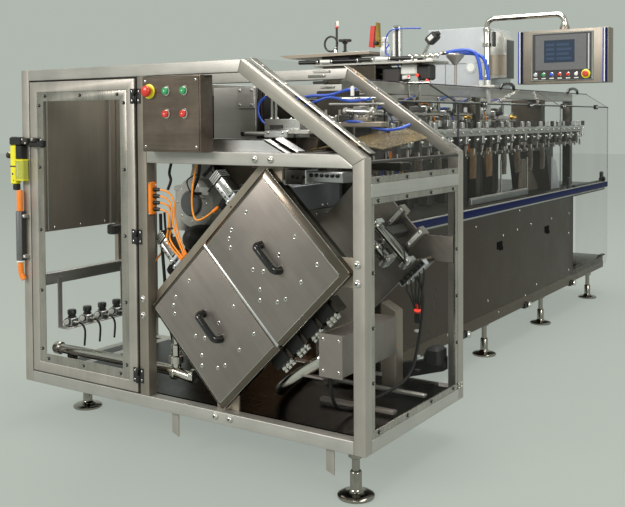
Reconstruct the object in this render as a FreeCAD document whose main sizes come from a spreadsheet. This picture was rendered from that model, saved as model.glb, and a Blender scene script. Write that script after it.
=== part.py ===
"""Pouch packing machine: square-tube infeed frame with a door, a diamond drive
unit, a long base with clear guards, and a swing-arm operator panel.

All lengths are in millimetres. Places are given from the front left corner of
the infeed frame (x to the right, y back along the machine, z up from the
floor), and datum_x and datum_y move them so that the origin is under the middle.
"""
import FreeCAD, Part
import math
import os
import re
import Sketcher
from FreeCAD import Placement, Rotation, Vector

doc = FreeCAD.newDocument("PouchPackingMachine")
sheet = doc.addObject("Spreadsheet::Sheet", "Sizes")

SIZES = [
    ("datum_x", 879, "origin, right of the frame's left face"),
    ("datum_y", 2171, "origin, behind the frame's front face"),
    ("gap", 0.3, "clearance between curved faces"),
    # infeed frame
    ("frame_width", 1831, "outside width of the infeed frame"),
    ("frame_depth", 841, "outside depth of the infeed frame"),
    ("frame_floor", 167, "underside of the frame above the floor"),
    ("frame_top", 1607, "top of the frame above the floor"),
    ("tube", 50, "side of the square frame tube"),
    ("slope_run", 547, "width of the sloped shoulder"),
    ("shoulder", 1235, "height of the outer corner at the slope's foot"),
    ("post_in", 1098, "left face of the centre post, in from the right side"),
    ("mid_rail_z", 1197, "underside of the rail over the drive unit"),
    ("side_bar_z", 1091, "underside of the side crossbar"),
    ("tab_wide", 35, "width of the two floor tabs"),
    ("tab_thick", 6, "thickness of the two floor tabs"),
    ("tab_drop", 103, "how far the tabs hang below the frame"),
    ("tab_left_x", 888, "left edge of the left tab"),
    ("tab_right_in", 184, "left edge of the right tab, in from the right side"),
    ("left_bar_z", 600, "underside of the bar across the left side"),
    # door
    ("door_left", 55, "left edge of the door"),
    ("door_gap", 8, "right edge of the door, left of the hinge line"),
    ("door_low", 222, "lower edge of the door"),
    ("door_high", 1550, "upper edge of the door"),
    ("door_tube", 48, "width of the door's frame tube"),
    ("door_deep", 40, "depth of the door's frame tube"),
    ("strip_wide", 40, "width of the strips that hold a window"),
    ("strip_thick", 3, "thickness of the strips that hold a window"),
    ("window_thick", 6, "thickness of the clear windows"),
    ("hinge_gap", 8, "hinge line, left of the centre post"),
    ("hinge_out", 9, "hinge line in front of the frame's face"),
    ("hinge_pin", 6, "radius of the hinge barrels"),
    ("hinge_leaf", 3, "thickness of the hinge leaves"),
    ("hinge_reach", 29, "width of one hinge leaf from the hinge line"),
    ("hinge_tall", 62, "height of a hinge"),
    ("hinge_low", 298, "middle of the lowest hinge"),
    ("hinge_mid", 885, "middle of the middle hinge"),
    ("hinge_high", 1475, "middle of the highest hinge"),
    # switch on the door's free edge
    ("switch_z", 1259, "underside of the switch's head"),
    ("switch_left", -47, "left end of the switch's head"),
    ("switch_wide", 112, "width of the switch's head"),
    ("switch_tall", 41, "height of the switch's head"),
    ("switch_deep", 38, "how far the switch stands out from the post"),
    ("switch_body", 38, "width of the switch's hanging body"),
    ("switch_drop", 176, "height of the switch's hanging body"),
    ("switch_knob", 12, "radius of the knob on the switch's side"),
    ("key_gap", 8, "space between the switch's head and the door's key"),
    ("key_long", 96, "length of the door's key"),
    ("key_tall", 50, "height of the door's key"),
    ("tube_top", 1054, "top of the cable tube on the left post"),
    ("tube_collar", 957, "upper end of the tube's grey sleeve"),
    ("tube_ring", 728, "lower end of the tube's grey sleeve"),
    ("tube_end", 640, "lower end of the cable tube"),
    ("tube_radius", 14, "radius of the cable tube"),
    ("sleeve_radius", 19, "radius of the tube's grey sleeve"),
    # push-button box
    ("box_in", 39, "push-button box, right of the centre post"),
    ("box_wide", 308, "width of the push-button box"),
    ("box_deep", 76, "depth of the push-button box"),
    ("box_front", -60, "front face of the push-button box"),
    ("box_tall", 304, "height of the push-button box"),
    ("button_radius", 15, "radius of a push button's ring"),
    ("button_out", 18, "how far a push button stands out"),
    ("stop_ring", 30, "radius of the stop button's ring"),
    ("stop_out", 38, "how far the stop button stands out"),
    # diamond drive unit
    ("unit_side", 52.6, "space between the drive unit and the right post"),
    ("unit_drop", 38, "drive unit's top corner below the mid rail"),
    ("unit_front", 2, "front face of the covers behind the frame's face"),
    ("cover_long", 487, "edge shared by both covers"),
    ("upper_edge", 403, "other edge of the upper cover"),
    ("lower_edge", 374, "other edge of the lower cover"),
    ("cover_space", 20, "space between the two covers"),
    ("mount_thick", 10, "thickness of the drive unit's mounting plate"),
    ("mount_inset", 10, "how far the mounting plate stays inside the covers"),
    ("mount_wing", 65, "how far the mounting plate stands out under the slides"),
    ("mount_foot", 20, "how far the mounting plate stands out at its foot"),
    ("mount_tab", 110, "width of the mounting plate's four tabs"),
    ("tab_lap", 30, "how far the tabs lap behind the frame's tubes"),
    ("cover_bevel", 22, "bevel round a cover's face"),
    ("cover_lip", 15, "straight edge of a cover behind its bevel"),
    ("handle_along", 167, "start of the bow handles along the covers"),
    ("handle_span", 172, "length of a bow handle"),
    ("handle_out", 40, "how far a bow handle stands out"),
    ("handle_bar", 16, "thickness of a bow handle's bar"),
    ("housing_inset", 30, "how far the housing stays inside the covers"),
    ("housing_deep", 110, "depth of the housing behind the covers"),
    # machine base
    ("base_left", 240, "left side of the base"),
    ("base_right", 1420, "right side of the base"),
    ("base_back", 3650, "back end of the tall base"),
    ("base_floor", 150, "underside of the base above the floor"),
    ("base_top", 835, "top of the base above the floor"),
    ("step_back", 4440, "back end of the low step"),
    ("step_top", 262, "top of the low step"),
    ("rail_tall", 40, "height of the blue side rail"),
    ("rail_out", 26, "thickness of the blue side rail"),
    ("deck_thick", 30, "thickness of the machine deck"),
    # upper frame over the base
    ("upper_tube", 60, "side of the upper frame's square tube"),
    ("upper_in", 80, "left beam of the upper frame, in from the base"),
    ("upper_in_right", 180, "right beam of the upper frame, in from the base"),
    ("upper_first", 60, "first posts behind the infeed frame"),
    ("upper_second", 2350, "second pair of posts, back from the face"),
    ("upper_third", 4140, "third pair of posts, back from the face"),
    ("cross_front", 1330, "first cross beam under the dosing head"),
    ("cross_next", 1460, "second cross beam under the dosing head"),
    ("rail_z", 1270, "underside of the gripper rail"),
    ("rail_bar", 30, "width of the gripper rail"),
    ("rail_deep", 46, "height of the gripper rail"),
    ("rail_reach", 45, "gripper rail's distance from its posts"),
    ("gripper_wide", 34, "length of a gripper along the rail"),
    ("gripper_drop", 70, "height of a gripper below the rail"),
    ("gripper_pitch", 236, "distance between two grippers"),
    # machinery of the line behind the grippers
    ("line_in", 124, "line's back wall, back from the infeed frame"),
    ("line_long", 2400, "length of the line's back wall"),
    ("line_sheet", 12, "thickness of the line's back wall"),
    ("line_top", 633, "height of the line's back wall above the deck"),
    ("housing_wide", 220, "width of the line's upper housing"),
    ("station_x", 1020, "left side of the stations' columns"),
    ("station_first", 1020, "first station, back from the face"),
    ("station_pitch", 245, "distance between two stations"),
    ("station_wide", 70, "side of a station's column"),
    ("station_tall", 625, "height of the tallest stations"),
    ("station_arm", 110, "length of a station's arm"),
    ("pouch_wide", 96, "width of a pouch"),
    ("pouch_tall", 178, "height of a pouch"),
    # dosing head on top
    ("dosing_left", 737, "left end of the dosing plate"),
    ("dosing_right", 1448, "right end of the dosing plate"),
    ("dosing_z", 1655, "underside of the dosing plate"),
    ("dosing_thick", 12, "thickness of the dosing plate and the lid"),
    ("lid_left", 510, "left tip of the lid"),
    ("lid_right", 1086, "right end of the lid"),
    ("lid_rise", 45, "height of the block under the lid"),
    ("valve_x", 1128, "middle of the bottle-shaped valve"),
    ("valve_radius", 22, "radius of the bottle-shaped valve"),
    ("valve_tall", 169, "height of the bottle-shaped valve"),
    ("air_x", 1199, "middle of the upright air cylinder"),
    ("air_radius", 18, "radius of the upright air cylinder"),
    ("air_tall", 190, "height of the upright air cylinder"),
    ("eye_x", 1382, "middle of the sensor on its slanted arm"),
    ("eye_rise", 88, "height of the sensor over the dosing plate"),
    ("eye_side", 40, "side of the sensor"),
    # guards
    ("guard_thick", 8, "thickness of the clear guards"),
    ("guard_low", 880, "lower edge of the side guards"),
    ("guard_fold", 1455, "height where the side guards turn in"),
    ("guard_top", 1560, "top edge of the clear guards"),
    ("guard_top_x", 1277, "top edge of the clear guards, across"),
    ("guard_first", 1650, "front edge of the first guard"),
    ("guard_second", 3300, "front edge of the second guard"),
    ("guard_space", 6, "space between two guards"),
    ("end_guard_low", 241, "lower edge of the guard under the rail"),
    # feet
    ("foot_radius", 69, "radius of a levelling foot's pad"),
    ("foot_pad", 26, "height of a foot's pad to the top of its dome"),
    ("foot_stem", 17, "radius of a foot's stem"),
    ("foot_sleeve", 22, "radius of a foot's sleeve"),
    ("sleeve_tall", 60, "height of a foot's sleeve"),
    ("front_foot_in", 64, "right front foot, in from the right side"),
    ("front_foot_right_y", 39, "right front foot, back from the face"),
    ("front_foot_left", 149, "left front foot, across"),
    ("front_foot_left_y", 241, "left front foot, back from the face"),
    ("foot_beam_in", 124, "rail over the left front foot, from the left side"),
    ("body_foot_in", 45, "body feet in from the base's sides"),
    ("body_foot_first", 2152, "first pair of body feet"),
    ("body_foot_second", 3107, "second pair of body feet"),
    ("body_foot_third", 4150, "third pair of body feet"),
    # operator panel on its swing arm
    ("pole_x", 804, "middle of the pendant post"),
    ("pole_y", 3560, "middle of the pendant post, back from the face"),
    ("pole_radius", 24, "radius of the pendant post"),
    ("pole_drop", 65, "top of the fixed pendant post below the arm"),
    ("arm_z", 2105, "middle of the swing arm"),
    ("arm_radius", 20, "radius of the swing arm"),
    ("arm_bend", 58, "bend radius of the swing arm"),
    ("panel_x", 1385, "middle of the operator panel"),
    ("panel_wide", 640, "width of the operator panel"),
    ("panel_tall", 375, "height of the operator panel"),
    ("panel_deep", 120, "depth of the operator panel"),
    ("arm_drop", 90, "top of the operator panel below the arm"),
    ("panel_end", 30, "width of the profiles at the panel's ends"),
    ("panel_end_out", 12, "how far the end profiles stand out"),
    ("bezel_wide", 440, "width of the screen's bezel"),
    ("bezel_tall", 330, "height of the screen's bezel"),
    ("bezel_out", 8, "how far the bezel stands out"),
    ("collar_radius", 34, "radius of the collar on the panel"),
    ("collar_tall", 24, "height of the collar on the panel"),
    ("panel_button", 15, "radius of the panel's stop button"),
    # rear cabinet
    ("cabinet_left", 283, "left side of the rear cabinet"),
    ("cabinet_right", 765, "right side of the rear cabinet"),
    ("cabinet_front", 3640, "front face of the rear cabinet"),
    ("cabinet_deep", 500, "depth of the rear cabinet"),
    ("cabinet_top", 2058, "top of the rear cabinet"),
    ("side_box_wide", 138, "width of the narrow box beside the post"),
    ("side_box_low", 1673, "underside of the narrow box"),
    ("side_box_top", 2030, "top of the narrow box"),
    ("side_box_deep", 150, "depth of the narrow box"),
    # pieces inside the infeed frame
    ("tray_thick", 12, "thickness of the floor tray"),
    ("panel_plate", 10, "thickness of the left side panel"),
    ("panel_plate_low", 850, "lower edge of the left side panel"),
    ("panel_plate_y", 100, "front edge of the left side panel"),
    ("inner_post_y", 551, "front face of the dark inner post"),
    ("inner_post", 78, "depth of the dark inner post"),
    ("shelf_z", 392, "top of the regulator shelf"),
    ("shelf_y", 150, "front end of the regulator shelf"),
    ("shelf_long", 435, "length of the regulator shelf"),
    ("shelf_wide", 66, "width of the regulator shelf"),
    ("shelf_thick", 6, "thickness of the shelf and its hangers"),
    ("regulator_pitch", 97, "distance between two regulators"),
    ("regulator_side", 40, "side of a regulator's body"),
    ("regulator_cap", 32, "side of a regulator's cap"),
    ("pipe_radius", 22, "radius of the polished pipes"),
    ("low_pipe_z", 310, "middle of the level polished pipe"),
    ("low_pipe_y", 104, "level polished pipe, back from the face"),
    ("low_pipe_in", 109, "end of the level polished pipe, left of the centre post"),
    ("rise_pipe_y", 92, "rising polished pipe, back from the face"),
    ("rise_run", 410, "how far the rising pipe runs across"),
    ("end_box_in", 231, "left side of the beam's end box, in from the right side"),
    ("end_box_wide", 97, "width of the beam's end box"),
    ("end_box_low", 417, "underside of the beam's end box"),
    ("end_box_tall", 155, "height of the beam's end box"),
    ("end_box_deep", 420, "depth of the beam's end box"),
    ("column_in", 306, "left side of the square column, in from the right side"),
    ("column_y", 665, "front face of the square column"),
    ("column_side", 69, "side of the square column"),
    ("column_top", 580, "top of the square column"),
    ("stand_side", 34, "side of the short stands"),
    ("block_z", 980, "underside of the lead block"),
    ("block_tall", 137, "height of the lead block"),
    ("block_thick", 17, "thickness of the lead block"),
    ("plug_long", 34, "length of a plug on the lead block"),
    ("plug_side", 15, "side of a plug on the lead block"),
    ("slide_deep", 60, "depth of a slide cylinder"),
    ("slide_tall", 52, "height of a slide cylinder"),
    ("slide_upper", 186, "upper slide cylinder, down the drive unit"),
    ("slide_lower", 588, "lower slide cylinder, down the drive unit"),
    ("slide_reach", 206, "how far a slide cylinder stands out"),
    ("slide_head", 46, "length of a slide cylinder's end block"),
    ("bed_left", 600, "left end of the transfer bed"),
    ("bed_right", 1560, "right end of the transfer bed"),
    ("bed_back", 700, "back edge of the transfer bed"),
    ("bed_thick", 12, "thickness of the transfer bed"),
    ("channel_long", 1347, "right end of the channel's top"),
    ("channel_foot", 1451, "right end of the channel's foot"),
    ("channel_tall", 100, "height of the channel"),
    ("channel_rise", 50, "top of the channel above the mid rail"),
    ("upright_x", 898, "left edge of the upright plate"),
    ("upright_wide", 229, "width of the upright plate"),
    ("upright_y", 300, "upright plate, back from the face"),
    ("upright_top", 1512, "top of the upright plate"),
    ("bolt_plate", 91, "side of the plate with four bolts"),
    ("robot_x", 740, "middle of the picking arm's housing"),
    ("robot_z", 1000, "height of the picking arm's housing"),
    ("robot_y", 330, "front face of the picking arm's housing"),
    ("robot_radius", 120, "radius of the picking arm's housing"),
    ("robot_deep", 150, "depth of the picking arm's housing"),
    ("robot_neck", 110, "side of the neck over the picking arm"),
    ("motor_radius", 60, "radius of the motor"),
    ("motor_across", 46, "motor right of the housing's middle"),
    ("motor_drop", 154, "motor below the housing's middle"),
    ("motor_out", 80, "how far the motor stands out"),
    ("rear_plate_thick", 12, "thickness of the rear drive plate"),
    ("rear_bar_deep", 46, "depth of the bars on the rear drive plate"),
    ("rear_bar_wide", 40, "width of the bars on the rear drive plate"),
    ("rear_bar_long", 100, "length of the bars on the rear drive plate"),
    ("rear_bar_out", 26, "how far the bars stand past the rear drive plate's edge"),
    ("rear_bar_first", 252, "first bar along the rear drive plate"),
    ("valve_out", 17, "valve bar past the rear drive plate's edge"),
    ("valve_down", 42, "valve bar down the rear drive plate"),
    ("valve_long", 150, "length of the valve bar"),
    ("valve_side", 28, "thickness of the valve bar"),
    ("rear_bar_second", 380, "second bar along the rear drive plate"),
    ("twin_radius", 22, "radius of the twin cylinders"),
    ("twin_y", 600, "twin cylinders, back from the face"),
    ("twin_block", 44, "width of the twin cylinders' bracket"),
    ("twin_along", 262, "first twin cylinder along the rear drive plate"),
    ("twin_down", 60, "first twin cylinder down the rear drive plate"),
    ("twin_long", 236, "length of the first twin cylinder"),
    # free leads and hoses
    ("lead_radius", 4, "radius of an orange lead"),
    ("harness_radius", 7, "radius of the valve bar's harness"),
    ("cable_radius", 7, "radius of the picking arm's cable"),
    ("hose_radius", 11, "radius of a blue hose"),
    ("loop_radius", 5, "radius of the blue loop behind the mid rail"),
    ("hose_space", 30, "distance between the two blue hoses along the machine"),
    ("manifold_x", 1059, "middle of the hose funnel's post"),
    ("manifold_y", 2450, "hose funnel, back from the face"),
    ("manifold_top", 1775, "top of the hose funnel"),
    ("sleeve_first", 1228, "middle of the first hose's sleeve"),
    ("sleeve_second", 1264, "middle of the second hose's sleeve"),
    ("sleeve_top", 1608, "top of the hose sleeves"),
]
NAMES = [row[0] for row in SIZES]
for number, (alias, value, note) in enumerate(SIZES, 1):
    sheet.set(f"A{number}", alias)
    sheet.set(f"B{number}", str(value))
    sheet.set(f"C{number}", note)
    sheet.setAlias(f"B{number}", alias)
doc.recompute()

WORD = re.compile(r"\b(" + "|".join(sorted(NAMES, key=len, reverse=True)) + r")\b")
PLANES = {"flat": "XY_Plane", "front": "XZ_Plane", "side": "YZ_Plane"}
TURNS = {
    "x": Rotation(Vector(0, 1, 0), 90),
    "y": Rotation(Vector(1, 0, 0), -90),
    "z": Rotation(),
}
DIAMOND = Rotation(Vector(0, 1, 0), 45) * Rotation(Vector(1, 0, 0), 90)
nodes = []


def tie(item, prop, formula):
    """Bind a property to a formula of the sheet's sizes."""
    item.setExpression(prop, WORD.sub(r"Sizes.\1", str(formula)))


def place(item, x, y, z, turn=None):
    """Put an item at a place given from the frame's front left corner."""
    if turn is not None:
        item.Placement = Placement(Vector(), turn)
    tie(item, "Placement.Base.x", f"({x}) - datum_x")
    tie(item, "Placement.Base.y", f"({y}) - datum_y")
    tie(item, "Placement.Base.z", z)
    return item


def box(name, x, y, z, wide, deep, tall):
    """Box from its lowest corner and its three sides."""
    item = doc.addObject("Part::Box", name)
    tie(item, "Length", wide)
    tie(item, "Width", deep)
    tie(item, "Height", tall)
    return place(item, x, y, z)


def rod(name, axis, x, y, z, radius, length):
    """Round bar along x, y or z from the middle of its first end."""
    item = doc.addObject("Part::Cylinder", name)
    tie(item, "Radius", radius)
    tie(item, "Height", length)
    return place(item, x, y, z, TURNS[axis])


def plane_of(body, role):
    """Origin plane of a body."""
    return next(item for item in body.Origin.OriginFeatures if item.Role == role)


def outline(body, role, points):
    """Closed sketch whose corners are bound to pairs of formulas."""
    sketch = body.newObject("Sketcher::SketchObject", body.Name + "Sketch")
    sketch.AttachmentSupport = [(plane_of(body, role), "")]
    sketch.MapMode = "FlatFace"
    values = [tuple(float(sheet_value(text)) for text in pair) for pair in points]
    count = len(points)
    for index in range(count):
        start = Vector(*values[index], 0)
        end = Vector(*values[(index + 1) % count], 0)
        sketch.addGeometry(Part.LineSegment(start, end))
    for index in range(count):
        sketch.addConstraint(Sketcher.Constraint("Coincident", index, 2, (index + 1) % count, 1))
    for index, pair in enumerate(points):
        for axis, text, value in zip("XY", pair, values[index]):
            number = sketch.addConstraint(Sketcher.Constraint("Distance" + axis, index, 1, value))
            sketch.renameConstraint(number, f"corner{index}{axis}")
            tie(sketch, f"Constraints.corner{index}{axis}", text)
    return sketch


def sheet_value(formula):
    """Value of a formula of the sheet's sizes."""
    scratch.setExpression("Value", WORD.sub(r"Sizes.\1", str(formula)))
    scratch.recompute()
    return scratch.Value


scratch = doc.addObject("App::FeaturePython", "Scratch")
scratch.addProperty("App::PropertyFloat", "Value")


def prism(name, plane, points, start, depth):
    """Body padded from an outline drawn in a front, side or flat plane."""
    body = doc.addObject("PartDesign::Body", name)
    sketch = outline(body, PLANES[plane], points)
    pad = body.newObject("PartDesign::Pad", name + "Pad")
    pad.Profile = sketch
    pad.Reversed = plane == "front"
    tie(pad, "Length", depth)
    shift = {"front": ("0", start, "0"), "side": (start, "0", "0"), "flat": ("0", "0", start)}
    return place(body, *shift[plane])


def join(name, items):
    """One solid made of pieces that touch."""
    item = doc.addObject("Part::MultiFuse", name)
    item.Shapes = items
    return item


def cut(name, base, tool):
    """A piece with another taken out of it."""
    item = doc.addObject("Part::Cut", name)
    item.Base = base
    item.Tool = tool
    return item


def node(label, *items):
    """Name a finished sub-part; loose pieces of one sub-part are grouped."""
    item = items[0]
    if len(items) > 1:
        item = doc.addObject("Part::Compound", label + "_group")
        item.Links = list(items)
    item.Label = label
    nodes.append(item)
    return item


POST_X = "(frame_width - post_in)"
POST_RIGHT = f"({POST_X} + tube)"
HINGE_X = f"({POST_X} - hinge_gap)"
DOOR_RIGHT = f"({HINGE_X} - door_gap)"
BOX_LEFT = f"({POST_RIGHT} + box_in)"
END_BOX_X = "(frame_width - end_box_in)"
COLUMN_X = "(frame_width - column_in)"
SLOPE = "((frame_top - shoulder) / slope_run)"
SLOPE_DROP = f"(tube * sqrt(1 + {SLOPE}^2))"
SLOPE_TOP = "(frame_width - slope_run)"
POST_INNER = "(frame_width - tube)"
SLOPE_FOOT = f"(shoulder + tube * {SLOPE} - {SLOPE_DROP})"
SLOPE_HEAD = f"({SLOPE_TOP} - ({SLOPE_DROP} - tube) / {SLOPE})"
RAIL_TOP = "(mid_rail_z + tube)"
BACK = "(frame_depth - tube)"
COVER_DEEP = "(tube - unit_front)"
ACROSS = "(upper_edge + cover_space + lower_edge)"
UNIT_X = "(frame_width - tube - unit_side - cover_long * sqrt(0.5))"
UNIT_Z = "(mid_rail_z - unit_drop)"
DECK = "(base_top + deck_thick)"
TRAY = "(frame_floor + tube)"
PANEL_TOP = "(arm_z - arm_drop - collar_tall)"
PANEL_LOW = f"({PANEL_TOP} - panel_tall)"
POLE_TOP = "(arm_z - pole_drop)"
BEAM_LOW = "(guard_top - upper_tube)"
LEFT_BEAM = "(base_left + upper_in)"
RIGHT_BEAM = "(base_right - upper_in_right - upper_tube)"


def infeed_frame():
    """Welded frame of square tube with a sloped right shoulder."""
    posts = []
    rails = []
    slopes = []
    for side, start in (("Front", "0"), ("Back", BACK)):
        posts.append(box(side + "LeftPost", "0", start, "frame_floor",
                         "tube", "tube", "frame_top - frame_floor"))
        posts.append(prism(side + "RightPost", "front", [
            (POST_INNER, "frame_floor"), ("frame_width", "frame_floor"),
            ("frame_width", "shoulder"), (POST_INNER, SLOPE_FOOT)], start, "tube"))
        rails.append(box(side + "BottomRail", "tube", start, "frame_floor",
                         "frame_width - 2 * tube", "tube", "tube"))
        rails.append(prism(side + "TopRail", "front", [
            ("tube", "frame_top - tube"), (SLOPE_HEAD, "frame_top - tube"),
            (SLOPE_TOP, "frame_top"), ("tube", "frame_top")], start, "tube"))
        slopes.append(prism(side + "Slope", "front", [
            (SLOPE_TOP, "frame_top"), (SLOPE_HEAD, "frame_top - tube"),
            (POST_INNER, SLOPE_FOOT), ("frame_width", "shoulder")], start, "tube"))
    node("frame_corner_posts", *posts)
    node("frame_cross_rails", *rails)
    node("sloped_tubes", *slopes)
    node("centre_post", box("CentrePost", POST_X, "0", "frame_floor + tube",
                            "tube", "tube", "frame_top - frame_floor - 2 * tube"))
    mid_end = f"({SLOPE_TOP} + (frame_top - {SLOPE_DROP} - {RAIL_TOP}) / {SLOPE})"
    node("mid_rail", prism("MidRail", "front", [
        (POST_RIGHT, "mid_rail_z"), (POST_INNER, "mid_rail_z"),
        (POST_INNER, SLOPE_FOOT), (mid_end, RAIL_TOP),
        (POST_RIGHT, RAIL_TOP)], "0", "tube"))
    run = "frame_depth - 2 * tube"
    side_rails = []
    for name, x, z in (("LeftTop", "0", "frame_top - tube"), ("LeftBar", "0", "left_bar_z"),
                       ("LeftBottom", "0", "frame_floor"), ("RightBottom", POST_INNER, "frame_floor"),
                       ("RightBar", POST_INNER, "side_bar_z"),
                       ("FootBeam", "foot_beam_in", "frame_floor")):
        side_rails.append(box(name + "Rail", x, "tube", z, "tube", run, "tube"))
    node("frame_side_rails", *side_rails)
    tabs = []
    for name, x in (("Left", "tab_left_x"), ("Right", "frame_width - tab_right_in")):
        tabs.append(prism(name + "Tab", "front", [
            (x, "frame_floor"), (x, "frame_floor - tab_drop + tab_wide * 0.4"),
            (x + " + tab_wide", "frame_floor - tab_drop"), (x + " + tab_wide", "frame_floor")],
            "tube / 2", "tab_thick"))
    node("floor_tabs", *tabs)


def ring_frame(name, left, low, right, high, border, start, depth):
    """Rectangular frame with mitre-free corners: a plate with a window in it."""
    plate = box(name + "Plate", left, start, low, f"({right}) - ({left})", depth,
                f"({high}) - ({low})")
    hole = box(name + "Hole", f"({left}) + {border}", f"({start}) - 1", f"({low}) + {border}",
               f"({right}) - ({left}) - 2 * {border}", f"({depth}) + 2",
               f"({high}) - ({low}) - 2 * {border}")
    return cut(name, plate, hole)


def door():
    """Glazed door, hinged on its right edge."""
    node("door_frame", ring_frame("DoorFrame", "door_left", "door_low", DOOR_RIGHT,
                                  "door_high", "door_tube", "0", "door_deep"))
    inner = ["door_left + door_tube", "door_low + door_tube",
             f"{DOOR_RIGHT} - door_tube", "door_high - door_tube"]
    node("door_window", box("DoorWindow", inner[0], "strip_thick + 2", inner[1],
                            f"{inner[2]} - ({inner[0]})", "window_thick",
                            f"{inner[3]} - ({inner[1]})"))
    node("door_window_strips", ring_frame("DoorStrips", *inner, "strip_wide", "2", "strip_thick"))
    fixed = []
    moving = []
    for name, middle in (("Low", "hinge_low"), ("Mid", "hinge_mid"), ("High", "hinge_high")):
        low = f"{middle} - hinge_tall / 2"
        fixed.append(join(name + "HingeFixed", [
            box(name + "FixedLeaf", f"{HINGE_X} + hinge_pin + gap", "-hinge_leaf", low,
                "hinge_reach - hinge_pin - gap", "hinge_leaf", "hinge_tall"),
            box(name + "FixedWeb", HINGE_X, "-hinge_out", low,
                "hinge_pin + gap + hinge_leaf", "hinge_out", "hinge_tall / 2 - gap"),
            rod(name + "FixedBarrel", "z", HINGE_X, "-hinge_out", low,
                "hinge_pin", "hinge_tall / 2 - gap")]))
        moving.append(join(name + "HingeMoving", [
            box(name + "MovingLeaf", f"{HINGE_X} - hinge_reach", "-hinge_leaf", low,
                "hinge_reach - hinge_pin - gap", "hinge_leaf", "hinge_tall"),
            box(name + "MovingWeb", f"{HINGE_X} - hinge_pin - gap - hinge_leaf", "-hinge_out",
                f"{middle} + gap", "hinge_pin + gap + hinge_leaf", "hinge_out - gap",
                "hinge_tall / 2 - gap"),
            rod(name + "MovingBarrel", "z", HINGE_X, "-hinge_out", f"{middle} + gap",
                "hinge_pin", "hinge_tall / 2 - gap")]))
    node("hinge_leaves_on_frame", *fixed)
    node("hinge_leaves_on_door", *moving)


def door_switch():
    """Interlock switch on the left post, its key on the door and its cable tube."""
    body_x = "(switch_left + 6)"
    foot_z = "(switch_z - switch_drop - 28)"
    pieces = [
        box("SwitchHead", "switch_left", "-switch_deep", "switch_z", "switch_wide",
            "switch_deep", "switch_tall"),
        box("SwitchBody", body_x, "-switch_deep", "switch_z - switch_drop", "switch_body",
            "switch_deep", "switch_drop"),
        box("SwitchFoot", f"{body_x} + 4", "-switch_deep * 0.8", foot_z, "switch_body - 8",
            "switch_deep * 0.6", "28"),
        box("SecondBody", f"{body_x} + switch_body", "-switch_deep", "switch_z - switch_drop + 20",
            "switch_body + 12", "switch_deep", "switch_drop / 2"),
        rod("SwitchKnob", "x", f"{body_x} - 37", "-switch_deep / 2", "switch_z - 44",
            "switch_knob", "37")]
    key_left = "switch_left + switch_wide + key_gap"
    node("door_switch_key", box("SwitchKey", key_left, "-switch_deep * 0.75",
                                "switch_z + switch_tall - key_tall", "key_long",
                                "switch_deep * 0.75", "key_tall"))
    for name, low, high, radius in (("Lead", "tube_end", "tube_top", "tube_radius"),
                                    ("Sleeve", "tube_ring", "tube_collar", "sleeve_radius")):
        pieces.append(rod("Tube" + name, "z", "0", "-sleeve_radius", low, radius,
                          f"{high} - {low}"))
    for name, z in (("Upper", "tube_collar - 30"), ("Lower", "tube_ring + 12")):
        pieces.append(box(name + "Clamp", "0", "-sleeve_radius", z, "sleeve_radius * 2",
                          "sleeve_radius", "18"))
    node("door_switch", join("DoorSwitch", pieces))


def button_box():
    """Push-button box with its stop button and four push buttons."""
    node("push_button_box", box("ButtonBox", BOX_LEFT, "box_front", RAIL_TOP,
                                "box_wide", "box_deep", "box_tall"))
    buttons = []
    row_high = f"{RAIL_TOP} + box_tall * 0.80"
    row_low = f"{RAIL_TOP} + box_tall * 0.50"
    spots = (("Green", "0.438", row_high), ("GreenRight", "0.74", row_high),
             ("Red", "0.438", row_low), ("RedRight", "0.74", row_low))
    for name, share, z in spots:
        buttons.append(rod(name + "Button", "y", f"{BOX_LEFT} + box_wide * {share}",
                           "box_front - button_out", z, "button_radius", "button_out"))
    stop_x = f"{BOX_LEFT} + box_wide * 0.14"
    buttons.append(join("StopButton", [
        rod("StopRing", "y", stop_x, "box_front - 8", row_high, "stop_ring", "8"),
        rod("StopCap", "y", stop_x, "box_front - stop_out", row_high,
            "stop_ring * 0.62", "stop_out")]))
    node("box_buttons", *buttons)


def diamond(item, along, down, out):
    """Put an item in the drive unit's own axes, from its top corner."""
    x = f"{UNIT_X} + (({along}) - ({down})) * sqrt(0.5)"
    z = f"{UNIT_Z} - (({along}) + ({down})) * sqrt(0.5)"
    return place(item, x, f"unit_front - ({out})", z, DIAMOND)


def diamond_box(name, along, down, behind, long, wide, deep):
    """Box in the drive unit's axes, set from its upper left corner."""
    item = doc.addObject("Part::Box", name)
    tie(item, "Length", long)
    tie(item, "Width", wide)
    tie(item, "Height", deep)
    return diamond(item, along, f"({down}) + ({wide})", f"unit_front - ({behind}) - ({deep})")


def cover(name, down, edge):
    """Bevelled steel pan: a loft from its rim to its face, over a straight lip."""
    lip = diamond_box(name + "Lip", "0", down, "tube - cover_lip", "cover_long", edge, "cover_lip")
    face = doc.addObject("Part::Wedge", name + "Face")
    tie(face, "Xmax", "cover_long")
    tie(face, "Ymax", f"{COVER_DEEP} - cover_lip")
    tie(face, "Zmax", edge)
    tie(face, "X2min", "cover_bevel")
    tie(face, "X2max", "cover_long - cover_bevel")
    tie(face, "Z2min", "cover_bevel")
    tie(face, "Z2max", f"({edge}) - cover_bevel")
    face.Xmin = face.Ymin = face.Zmin = 0
    wedge_turn = DIAMOND * Rotation(Vector(1, 0, 0), 90)
    along_x = f"{UNIT_X} - ({down}) * sqrt(0.5)"
    along_z = f"{UNIT_Z} - ({down}) * sqrt(0.5)"
    place(face, along_x, "tube - cover_lip", along_z, wedge_turn)
    return join(name, [lip, face])


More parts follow.
